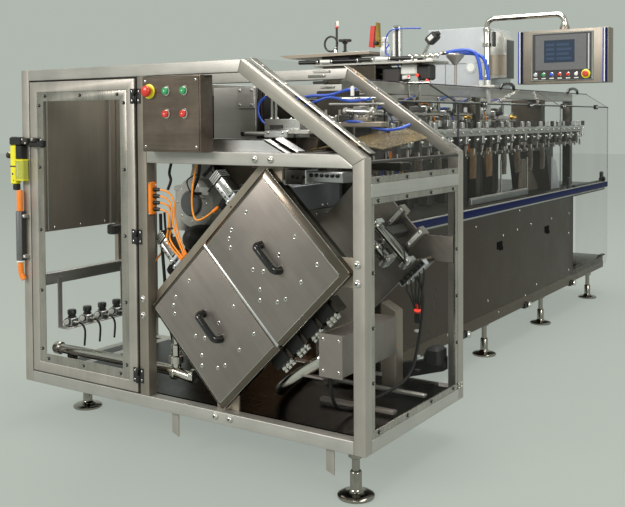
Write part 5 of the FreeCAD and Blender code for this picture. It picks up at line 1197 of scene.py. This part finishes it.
def gripper_line(sizes):
    """Gripper rail with its heads, hanging pouches, upright stations and air fittings."""
    rounded("upper_post_steel", "upper_posts", 4, "shade_steel")
    rounded("upper_beam_steel", "upper_beams", 4, "steel_y")
    rounded("upper_cross_steel", "upper_cross_beams", 4, "steel_x")
    line = Piece("gripper_heads", "machine", "brushed_stainless", "gripper_rail")
    bags = Piece("hanging_pouches", "machine", "film", "pouches")
    line.blocks((
        ((1285, 901, 1270), (1315, 4200, 1316), "steel_y", 3),
        ((1313, 901, 1300), (1322, 4200, 1312), "bright", 1),
        ((1286, 901, 1150), (1300, 3500, 1180), "shade_steel", 3)))
    for y in (901, 2350, 4140):
        line.block((1240, y, 1281), (1286, y + 60, 1304), "shade_steel")
    for index in range(28):
        y = 971 + index * 118
        wide = index % 2 == 0
        line.blocks((
            ((1283, y, 1200 if wide else 1226), (1317, y + 34, 1272), "dark" if wide
                else "aluminium", 3),
            ((1300, y + 4, 1170), (1312, y + 14, 1216), "bright" if wide else "steel_z", 2)))
        line.turns((
            ((1317, y + 17, 1250), RIGHT, [(11, 0), (11, 8), (8, 10), (5, 18)], "chrome", 12),
            ((1322, y + 60, 1292), RIGHT, [(7, 0), (6, 5)], "chrome", 10)))
        line.block((1300, y + 62, 1316), (1318, y + 96, 1352), "bright" if index % 3 else "dark",
                edge=3)
        if index < 22 and wide:
            bags.loft(hanging_pouch(index), "dull_pouch" if index in (10, 12) else "pouch")
    line.done()
    bags.done()
    rounded("line_housing_sheets", "line_housing", 5, "shade_steel")
    stations = Piece("line_station_parts", "machine", "aluminium", "line_stations")
    for index in range(9):
        y, high = station_spot(index)
        stations.blocks((
            ((1020, y, 865), (1090, y + 70, high), "shade_steel" if index % 2 else "dark", 5),
            ((1090, y + 6, high - 80), (1200, y + 60, high - 45), "bright" if index % 2
                else "aluminium", 4),
            ((1090, y - 20, high - 140), (1170, y + 80, high - 80), "cover", 4)))
        stations.rod((1150, y + 16, high - 44), (1150, y + 16, high + 30), 9, "polished")
        stations.rod((1204, y + 46, 1130), (1204, y + 46, high - 30), 8, "polished")
        stations.turns((
            ((1200, y + 32, high - 62), RIGHT, [(16, -2), (16, 20), (12, 24), (12, 40)],
                ("chrome", "black", "brass")[index % 3], 16),
            ((1130, y + 40, high - 44), UPWARD, [(18, 0), (18, 30), (14, 34), (10, 50)],
                ("black", "steel_z", "dark")[index % 3], 16)))
        stations.screw([(1170, y - 8, high - 120), (1170, y + 66, high - 120)], RIGHT, 7, 5)
        stations.block((1180, y + 84, 1160), (1240, y + 100, 1236), "orange" if index % 4 == 1
                else "dark", edge=4)
    for y0, y1, z in ((1000, 2460, 1398), (1600, 2090, 1338), (2240, 3040, 1358),
            (1040, 3300, 1222)):
        stations.rod((1218, y0, z), (1218, y1, z), 10, "polished", 16)
    for y in (1640, 1740, 1850, 1960, 2050, 2300, 2420, 2560, 2700, 2860):
        stations.block((1206, y, 1326), (1234, y + 40, 1364), "bright" if y % 100 else "black",
                edge=4)
    for index in range(16):
        y = 1500 + index * 110
        stations.turned((1300, y, 1165), RIGHT, [(9, -2), (9, 6), (5, 9)], "chrome", 10)
    for y in (2595, 3052):
        stations.rod((1300, y, 870), (1300, y, 1112), 5, "polished")
    stations.rod((1300, 2120, 905), (1300, 3052, 905), 6, "steel_y")
    stations.blocks((
        ((1290, 2121, 868), (1310, 3052, 905), "aluminium", 3),
        ((1040, 3450, 1180), (1290, 4180, 1240), "cover", 6)))
    stations.plate([(3440, 1180), (3600, 1180), (3600, 866), (3540, 866), (3500, 1010)], 1010, 1290,
            "dark", order=(1, 2, 0))
    stations.block((1060, 3380, 1240), (1280, 3460, 1500), "shade_steel", edge=5)
    stations.plate([(3560, 868), (3720, 868), (3640, 1060), (3560, 1100)], 1270, 1300, "pale",
            order=(1, 2, 0))
    stations.plate([(3200, 868), (3560, 868), (3330, 1090), (3240, 1090)], 1180, 1200,
            "panel_steel", order=(1, 2, 0))
    for index in range(10):
        stations.turned((1294, 3480 + index * 72, 1215), RIGHT, [(17, -6), (17, 4), (12, 6)],
                "black", 14)
    stations.done()
    air = Piece("line_air_tubes", "machine", "blue_hose")
    for first, last, rise in ((0, 1, 34), (2, 3, 30), (4, 5, 44), (5, 7, 60), (7, 8, 36)):
        ends = [np.array([1130, station_spot(i)[0] + 40, station_spot(i)[1]], float) for i in
                (first, last)]
        air.pipe([ends[0], ends[0] + (20, 30, 26), (ends[0] + ends[1]) / 2 + (40, 0, rise),
                ends[1] + (20, -30, 26), ends[1]], 5, "hose_blue", 6, 10)
    for index in range(7):
        y, high = station_spot(index)
        air.pipe([(1120, y + 30, high - 50), (1190, y + 40, high - 34), (1226, y + 70, 1340),
                (1228, y + 88, 1232)], 4, ("orange_lead", "hose_blue", "rubber")[index % 3], 6, 8)
    air.done()


def dosing_head(sizes):
    """Dosing plate, lid with ring and knob, valves, air cylinder, sensor and jointed bars."""
    head = Piece("dosing_head_parts", "machine", "brushed_stainless", "dosing_head")
    head.blocks((
        ((797, 1330, 1560), (1120, 1520, 1655), "shade_steel", 5),
        ((737, 1330, 1655), (1448, 1520, 1667), "steel_x", 2),
        ((770, 1360, 1667), (950, 1490, 1712), "dark", 6)))
    head.plate([(510, 1724), (570, 1706), (1086, 1712), (1086, 1724)], 1330, 1520, "panel_steel")
    head.block((560, 1340, 1724), (1080, 1510, 1728), "steel_x", edge=1.5)
    for x0, x1, look in ((640, 760, "black"), (780, 850, "white"), (860, 1010, "black"),
            (1120, 1200, "white"), (1200, 1330, "black"), (1020, 1100, "dark")):
        head.rod((x0, 1340, 1682), (x1, 1340, 1680), 11, look, 16)
        head.turned((x1, 1340, 1681), RIGHT, [(13, -4), (14, -2), (14, 6), (12, 8)], "chrome", 14)
    angles = np.linspace(0, 2 * math.pi, 33)
    head.pipe([(808 + 40 * math.cos(a), 1400, 1780 + 40 * math.sin(a)) for a in angles], 5.5,
            "dark", 1, 12)
    head.rod((845, 1400, 1724), (845, 1400, 1868), 6, "dark")
    head.turns((
        ((845, 1400, 1862), UPWARD, [(10, 0), (10, 14), (7, 20), (7, 30)], "red", 14),
        ((852, 1398, 1872), UPWARD, [(8, 0), (8, 24), (5, 28)], "white", 14),
        ((838, 1400, 1724), UPWARD, [(12, 0), (12, 30), (9, 34)], "chrome", 16),
        ((897, 1400, 1728), UPWARD, [(20, 0), (14, 8), (8, 12), (8, 46), (14, 50), (14, 56),
            (34, 60), (36, 66), (34, 72), (10, 74)], "dark", 20),
        ((1128, 1425, 1667), UPWARD, [(20, 0), (26, 4), (28, 60), (26, 78), (14, 92), (12, 104),
            (20, 110), (20, 128), (12, 134)], "white", 24),
        ((1140, 1420, 1700), UPWARD, [(29, 0), (30, 2), (30, 28), (29, 30)], "pale", 24)))
    head.plate([(1040, 1752), (1066, 1748), (1078, 1862), (1052, 1862)], 1404, 1426, "red")
    head.plate([(1082, 1752), (1104, 1748), (1100, 1876), (1086, 1880)], 1400, 1424, "brass")
    head.turned((1088, 1396, 1772), FRONT, [(12, 0), (12, 8), (7, 12)], "dark", 16)
    head.blocks((
        ((1180, 1406, 1667), (1196, 1440, 1850), "white", 4),
        ((1198, 1406, 1667), (1210, 1440, 1850), "black", 3),
        ((1212, 1406, 1667), (1224, 1440, 1850), "bright", 4)))
    head.turns((
        ((1201, 1423, 1846), UPWARD, [(22, 0), (22, 8), (16, 10), (8, 14)], "chrome", 20),
        ((1201, 1423, 1667), UPWARD, [(26, 0), (26, 12), (22, 14)], "chrome", 20)))
    head.pipe([(1150, 1400, 1700), (1146, 1396, 1780), (1180, 1392, 1830), (1262, 1392, 1836),
            (1350, 1396, 1832)], 3.5, "hose_blue", 6, 10)
    head.pipe([(1170, 1390, 1760), (1150, 1386, 1720), (1196, 1384, 1680), (1230, 1384, 1640)], 3.5,
            "hose_blue", 6, 10)
    head.pipe([(1330, 1424, 1667), (1350, 1424, 1700), (1384, 1424, 1756)], 8, "polished", 4, 14)
    head.block((1318, 1408, 1667), (1366, 1440, 1700), "chrome", edge=6)
    tilt = Seat((1404, 1424, 1782), ((0.78, 0, 0.62), (0, 1, 0), (-0.62, 0, 0.78)))
    head.blocks((
        ((-34, -26, -22), (30, 26, 22), "black", 6),
        ((-16, -27.5, -10), (14, -25, 12), "white", 1)), tilt)
    head.turned((30, 0, 0), RIGHT, [(14, -4), (14, 10), (10, 14)], "dark", 16, tilt)
    for z, x0, x1 in ((1690, 1260, 1440), (1672, 1240, 1400)):
        head.rod((x0, 1424, z), (x1, 1424, z + 4), 6, "chrome")
    for x in (1275, 1310, 1392, 1424):
        head.turned((x, 1424, 1692), UPWARD, [(10, -14), (12, -10), (12, 10), (10, 14)], "chrome",
                12)
    head.done()
    under = Piece("dosing_nozzles", "machine", "aluminium")
    for low, high, look in (((1240, 1380, 1596), (1330, 1480, 1655), "white"), ((1330, 1390, 1570),
            (1400, 1470, 1650), "black"), ((1130, 1380, 1560), (1238, 1480, 1640), "dark"),
            ((1250, 1370, 1572), (1300, 1390, 1600), "bright")):
        under.block(low, high, look, edge=8)
    for x, z in ((1290, 1588), (1340, 1594), (1395, 1566)):
        under.turned((x, 1376, z), FRONT, [(8, 0), (8, 4), (5, 6)], "lamp", 12)
    for x in (1270, 1330):
        under.rod((x, 1420, 1480), (x, 1420, 1600), 7, "polished")
    for x0, x1, z in ((1120, 1290, 1608), (1180, 1400, 1560)):
        under.rod((x0, 1400, z), (x1, 1400, z - 4), 9, "polished")
    under.done()
    rails = Piece("top_rails")
    for z, y, look in ((1588, 640, "steel_x"), (1566, 600, "polished"), (1540, 640, "shade_steel"),
            (1520, 700, "steel_x")):
        rails.block((1190, y, z - 8), (1275 if z > 1560 else 1260, y + 20, z + 4), look, edge=2)
    rails.done()


def hoses_end(sizes):
    """Funnel on its post and the clear sleeves that the blue hoses end in."""
    piece = Piece("hose_funnel", "machine", "brushed_stainless", "hose_manifold")
    piece.block((1029, 2430, 1560), (1324, 2500, 1575), "steel_x", edge=2)
    piece.rod((1059, 2450, 1575), (1059, 2450, 1712), 9, "steel_z", 16)
    piece.turned((1056, 2450, 1706), UPWARD, [(12, 0), (16, 8), (54, 50), (57, 64), (54, 66),
            (50, 62)], "steel_x", 28)
    for x, y, look in ((1228, 2450, "sleeve"), (1264, 2480, "sleeve")):
        piece.turned((x, y, 1575), UPWARD, [(15, 0), (15, 14), (13.5, 16), (13.5, 30), (12.5, 33)],
                look, 20)
        tall = 99 if x < 1240 else 155
        piece.turns((
            ((x, y, 1400), UPWARD, [(15, 0), (15, tall - 3), (13, tall)], look, 20),
            ((x, y, 1556), UPWARD, [(18, -3), (19, 0), (19, 3), (17, 4)], "chrome", 16)))
    for spot in ((1000, 2450, 1786.8), (1072, 2480, 1779)):
        piece.rod((spot[0] - 40, spot[1], spot[2] - 4), (spot[0] - 1, spot[1], spot[2]), 10,
                "chrome", 16)
        piece.turned((spot[0] - 26, spot[1], spot[2] - 3), RIGHT, [(14, 0), (14, 16)], "chrome", 6)
    piece.rod((960, 2450, 1782), (1060, 2450, 1776), 5, "chrome")
    piece.done()


def rear_cabinet(sizes):
    """Pale cabinet with its door seam and the narrow box with a chamfered corner."""
    rounded("rear_cabinet_sheets", "rear_cabinet", 5, lambda c:
            (("pale", "grey", "mid_grey"), np.where(c[:, 0] > 790, np.where(c[:, 0] > 880, 2, 1),
            0).astype(int)))
    seams = Piece("cabinet_seams", "machine", "grey_paint")
    seams.blocks((
        ((300, 3637, 1790), (765, 3640, 1793), "mid_grey", 0.5),
        ((430, 3636.5, 1575), (432, 3640, 1790), "mid_grey", 0.3)))
    seams.turns((
        ((640, 3638, 1760), FRONT, [(46, 0), (46, 2), (40, 2.4)], "pale", 28),
        ((640, 3636, 1760), FRONT, [(30, 0), (30, 1)], "white", 24)))
    seams.block((770, 3698, 1700), (900, 3700, 1850), "panel_steel", edge=1)
    seams.screw([(x, 3637, z) for x in (310, 750) for z in (1590, 2030)], FRONT, 7, 3)
    seams.done()


def operator_panel(sizes):
    """Swing arm with its knuckles and the operator panel with screen and buttons."""
    rounded("pendant_post_tube", "pendant_post", 1, "polished")
    post = Piece("pendant_post_rings")
    for z, radius, high in ((1660, 36, 26), (1900, 33, 30), (2010, 30, 28)):
        post.turned((804, 3560, z), UPWARD, [(radius - 3, 0), (radius, 3), (radius, high - 3),
                (radius - 3, high)], "polished", 28)
    post.block((850, 3540, 1900), (868, 3580, 2010), "black", edge=4)
    post.done()
    coat("pendant_arm", "polished")
    joint = Piece("pendant_arm_collar", "arm", "brushed_stainless")
    joint.turned((1385, 3560, 2016), UPWARD, [(21, 0), (30, 2), (30, 14), (26, 17), (24, 30),
            (21, 32)], "polished", 28)
    joint.done()
    rounded("panel_case", "operator_panel", 3, "post_steel", "panel")
    front = 3500.0
    face = Piece("panel_face", "panel", "black_plastic", "panel_fittings")
    low = 1616.0
    face.blocks((
        ((1165, front - 8, low + 18), (1605, front, low + 357), "chrome", 3),
        ((1176, front - 9.5, low + 26), (1594, front - 7, low + 349), "black", 1.5),
        ((1198, front - 12, low + 92), (1560, front - 8, low + 338), "mid_grey", 3),
        ((1262, front - 13.5, low + 146), (1478, front - 11, low + 302), "screen", 1)))
    for index in range(4):
        face.blocks((
            ((1276, front - 13.8, low + 164 + index * 32),
                (1336, front - 13.2, low + 182 + index * 32), "screen_mark", 0.2),
            ((1352, front - 13.8, low + 164 + index * 32), (1458 - 18 * (index % 2), front - 13.2,
                low + 182 + index * 32), "screen_mark", 0.2)))
    face.block((1570, front - 12, low + 92), (1580, front - 8, low + 338), "pale", edge=2)
    for index, look in enumerate(("pale", "green", "hose_blue", "red", "red", "white")):
        x = 1200 + index * 58
        face.turns((
            ((x, front - 9, low + 62), FRONT, [(15, 0), (15, 3), (12, 6)], "chrome", 20),
            ((x, front - 14, low + 62), FRONT, [(12, 0), (12, 6), (9, 8)], look, 20)))
        face.block((x - 15, front - 10.5, low + 32), (x + 15, front - 9, low + 40), "white",
                edge=0.4)
    face.turns((
        ((1556, front - 9, low + 62), FRONT, [(31, 0), (31, 3), (28, 4)], "yellow", 28),
        ((1556, front - 12, low + 62), FRONT, [(15, 0), (20, 6), (20, 16), (14, 21)], "red", 26)))
    for left in (1071, 1669):
        for offset, wide, look in ((0, 9, "blue"), (9, 8, "white"), (17, 13, "rail_blue")):
            face.block((left + offset, front - 12, low + 4),
                    (left + offset + wide, front, low + 371), look, edge=1.5)
    face.done()
    back = Piece("panel_back", "panel", "grey_paint")
    back.block((1120, 3619, low + 40), (1650, 3622, low + 335), "grey", edge=1)
    back.screw([(x, 3622, z) for x in (1136, 1634) for z in (low + 56, low + 320)], (0, 1, 0), 6, 3)
    back.done()


LAMPS = (("Key", (-4.6, -12.5, 7.2), (0, -1.2, 0.8), 7.0, 4.0, 900),
         ("Side", (10.5, -6.5, 5.6), (0.6, 0, 0.9), 5.0, 4.0, 420),
         ("Top", (0.4, 0.6, 7.6), (0, 0.4, 0.8), 7.0, 4.0, 420))
LAMP_TINT = (1.0, 0.955, 0.9)
CAMERA_SPOT = (2.5624, -4.9335, 1.3733)
CAMERA_HEADING, CAMERA_TILT, CAMERA_ROLL = 33.52, -1.92, -0.33
LENS = (36, 52.31, -0.1658, 200)


def studio(look):
    """Floor, world, soft lamps and the camera at the photo's place."""
    floor = bpy.data.meshes.new("Floor")
    floor.from_pydata([(-30, -30, 0), (30, -30, 0), (30, 30, 0), (-30, 30, 0)], [], [(0, 1, 2, 3)])
    paint = Paint("Studio floor")
    cloud = paint.noise(0.9, detail=3.0)
    paint.finish(Base_Color=paint.blend(cloud, tone(look.floor_tone, 0.97),
            tone(look.floor_tone, 1.03)), Roughness=0.9, Emission_Color=tone(look.sky_tone),
            Emission_Strength=look.floor_glow)
    floor.materials.append(paint.material)
    place("Floor", floor)
    world = bpy.data.worlds.new("Studio")
    world.use_nodes = True
    sky = world.node_tree.nodes["Background"]
    sky.inputs["Color"].default_value = tone(look.sky_tone)
    sky.inputs["Strength"].default_value = look.sky_strength
    bpy.context.scene.world = world
    for name, spot, aim, wide, tall, power in LAMPS:
        data = bpy.data.lights.new(name, "AREA")
        data.shape = "RECTANGLE"
        data.size, data.size_y = wide, tall
        data.energy = power * look.lamp_strength
        data.color = LAMP_TINT
        lamp = place(name, data)
        lamp.location = spot
        lamp.rotation_euler = (Vector(aim) - Vector(spot)).to_track_quat("-Z", "Y").to_euler()
    data = bpy.data.cameras.new("Camera")
    data.sensor_width, data.lens, data.shift_y, data.clip_end = LENS
    camera = place("Camera", data)
    turn = (Matrix.Rotation(math.radians(CAMERA_HEADING), 4, "Z") @
            Matrix.Rotation(math.radians(90 + CAMERA_TILT), 4, "X") @
            Matrix.Rotation(math.radians(CAMERA_ROLL), 4, "Z"))
    camera.matrix_world = Matrix.Translation(CAMERA_SPOT) @ turn
    bpy.context.scene.camera = camera
    bpy.context.scene.view_settings.view_transform = "Standard"


class PackingSizes(bpy.types.PropertyGroup):
    """Sizes of the added shapes that a user would change."""

    tube_rounding: bpy.props.FloatProperty(
        name="Tube rounding", description="Corner radius of the square tubes", default=0.003,
        min=0.001, max=0.012, unit="LENGTH")


class PackingLook(bpy.types.PropertyGroup):
    """Tones and light of the stage."""

    floor_tone: bpy.props.FloatVectorProperty(
        name="Floor tone", description="Floor colour, each part from 0 to 255",
        default=(80, 84, 80), min=0, max=255)
    floor_glow: bpy.props.FloatProperty(
        name="Floor glow", description="Share of the surrounding light given off by the floor",
        default=0.56)
    sky_tone: bpy.props.FloatVectorProperty(
        name="Surround tone", description="Colour of the surrounding light, 0 to 255",
        default=(196, 205, 196), min=0, max=255)
    sky_strength: bpy.props.FloatProperty(
        name="Surround strength", description="Strength of the surrounding light", default=0.78)
    lamp_strength: bpy.props.FloatProperty(
        name="Lamp strength", description="Share of the lamps' full power", default=1.5)


class PACKING_OT_stage(bpy.types.Operator):
    """Pale floor, soft light and the camera"""

    bl_idname = "packing.stage"
    bl_label = "Stage"

    def execute(self, context):
        studio(context.scene.packing_look)
        return {"FINISHED"}


def operator(tag, label, note, *builders):
    """Operator class that runs the building functions of one group of pieces."""
    def execute(self, context):
        for build in builders:
            build(context.scene.packing_sizes)
        return {"FINISHED"}

    return type("PACKING_OT_" + tag, (bpy.types.Operator,), { "__doc__": note, "bl_idname":
            "packing." + tag, "bl_label": label, "execute": execute})


OPERATORS = (
    operator("frame", "Infeed frame", "Rounded square tubes and their bolts", infeed_frame),
    operator("door", "Glazed door", "Door frame, strips, screws and hinges", glazed_door),
    operator("switch", "Door switch", "Yellow interlock switch and its cable tube", door_switch),
    operator("buttons", "Push-button box", "Box, lid, buttons and stop button", button_box),
    operator("covers", "Drive covers", "Bevelled covers, screws and handles", drive_covers),
    operator("slides", "Slides and lead block", "Slide cylinders and the orange block",
             slides_and_block),
    operator("cords", "Leads and hoses", "Free orange leads and blue hoses", orange_leads,
             blue_hoses),
    operator("arm", "Picking arm", "Grey casting, motor and black cables", picking_arm),
    operator("inside", "Inner fittings", "Side panel, regulators, pipes and stands",
             inner_fittings),
    operator("bed", "Transfer bed", "Channel, plates, rods, blocks and film", transfer_bed),
    operator("rear", "Rear drive", "Rear plate, valve bar and harness", rear_drive),
    operator("base", "Machine base", "Base sheets, blue rails and trims", machine_base),
    operator("feet", "Levelling feet", "Turned feet", levelling_feet),
    operator("guards", "Clear guards", "Windows, rims, strips and handles", clear_guards),
    operator("line", "Gripper line", "Grippers, pouches and stations", gripper_line),
    operator("dosing", "Dosing head", "Plate, lid, valves and sensor", dosing_head),
    operator("funnel", "Hose funnel", "Funnel and clear sleeves", hoses_end),
    operator("cabinet", "Rear cabinet", "Cabinet and narrow box", rear_cabinet),
    operator("panel", "Operator panel", "Swing arm, screen and buttons", operator_panel),
)


class PACKING_PT_panel(bpy.types.Panel):
    """Lists the sizes and the building steps"""

    bl_idname = "PACKING_PT_panel"
    bl_label = "Pouch packing machine"
    bl_space_type = "VIEW_3D"
    bl_region_type = "UI"
    bl_category = "Packing"

    def draw(self, context):
        for group in (context.scene.packing_sizes, context.scene.packing_look):
            for name in group.__annotations__:
                self.layout.prop(group, name)
        for item in OPERATORS + (PACKING_OT_stage,):
            self.layout.operator(item.bl_idname)


CLASSES = (PackingSizes, PackingLook, PACKING_OT_stage) + OPERATORS + (PACKING_PT_panel,)


def register():
    for item in CLASSES:
        bpy.utils.register_class(item)
    bpy.types.Scene.packing_sizes = bpy.props.PointerProperty(type=PackingSizes)
    bpy.types.Scene.packing_look = bpy.props.PointerProperty(type=PackingLook)


def unregister():
    del bpy.types.Scene.packing_sizes
    del bpy.types.Scene.packing_look
    for item in reversed(CLASSES):
        bpy.utils.unregister_class(item)


def main():
    """Register, run every step in order and note the boxes before and after."""
    register()
    for item in OPERATORS + (PACKING_OT_stage,):
        group, name = item.bl_idname.split(".")
        getattr(getattr(bpy.ops, group), name)()
    bpy.context.view_layer.update()


if __name__ == "__main__":
    main()
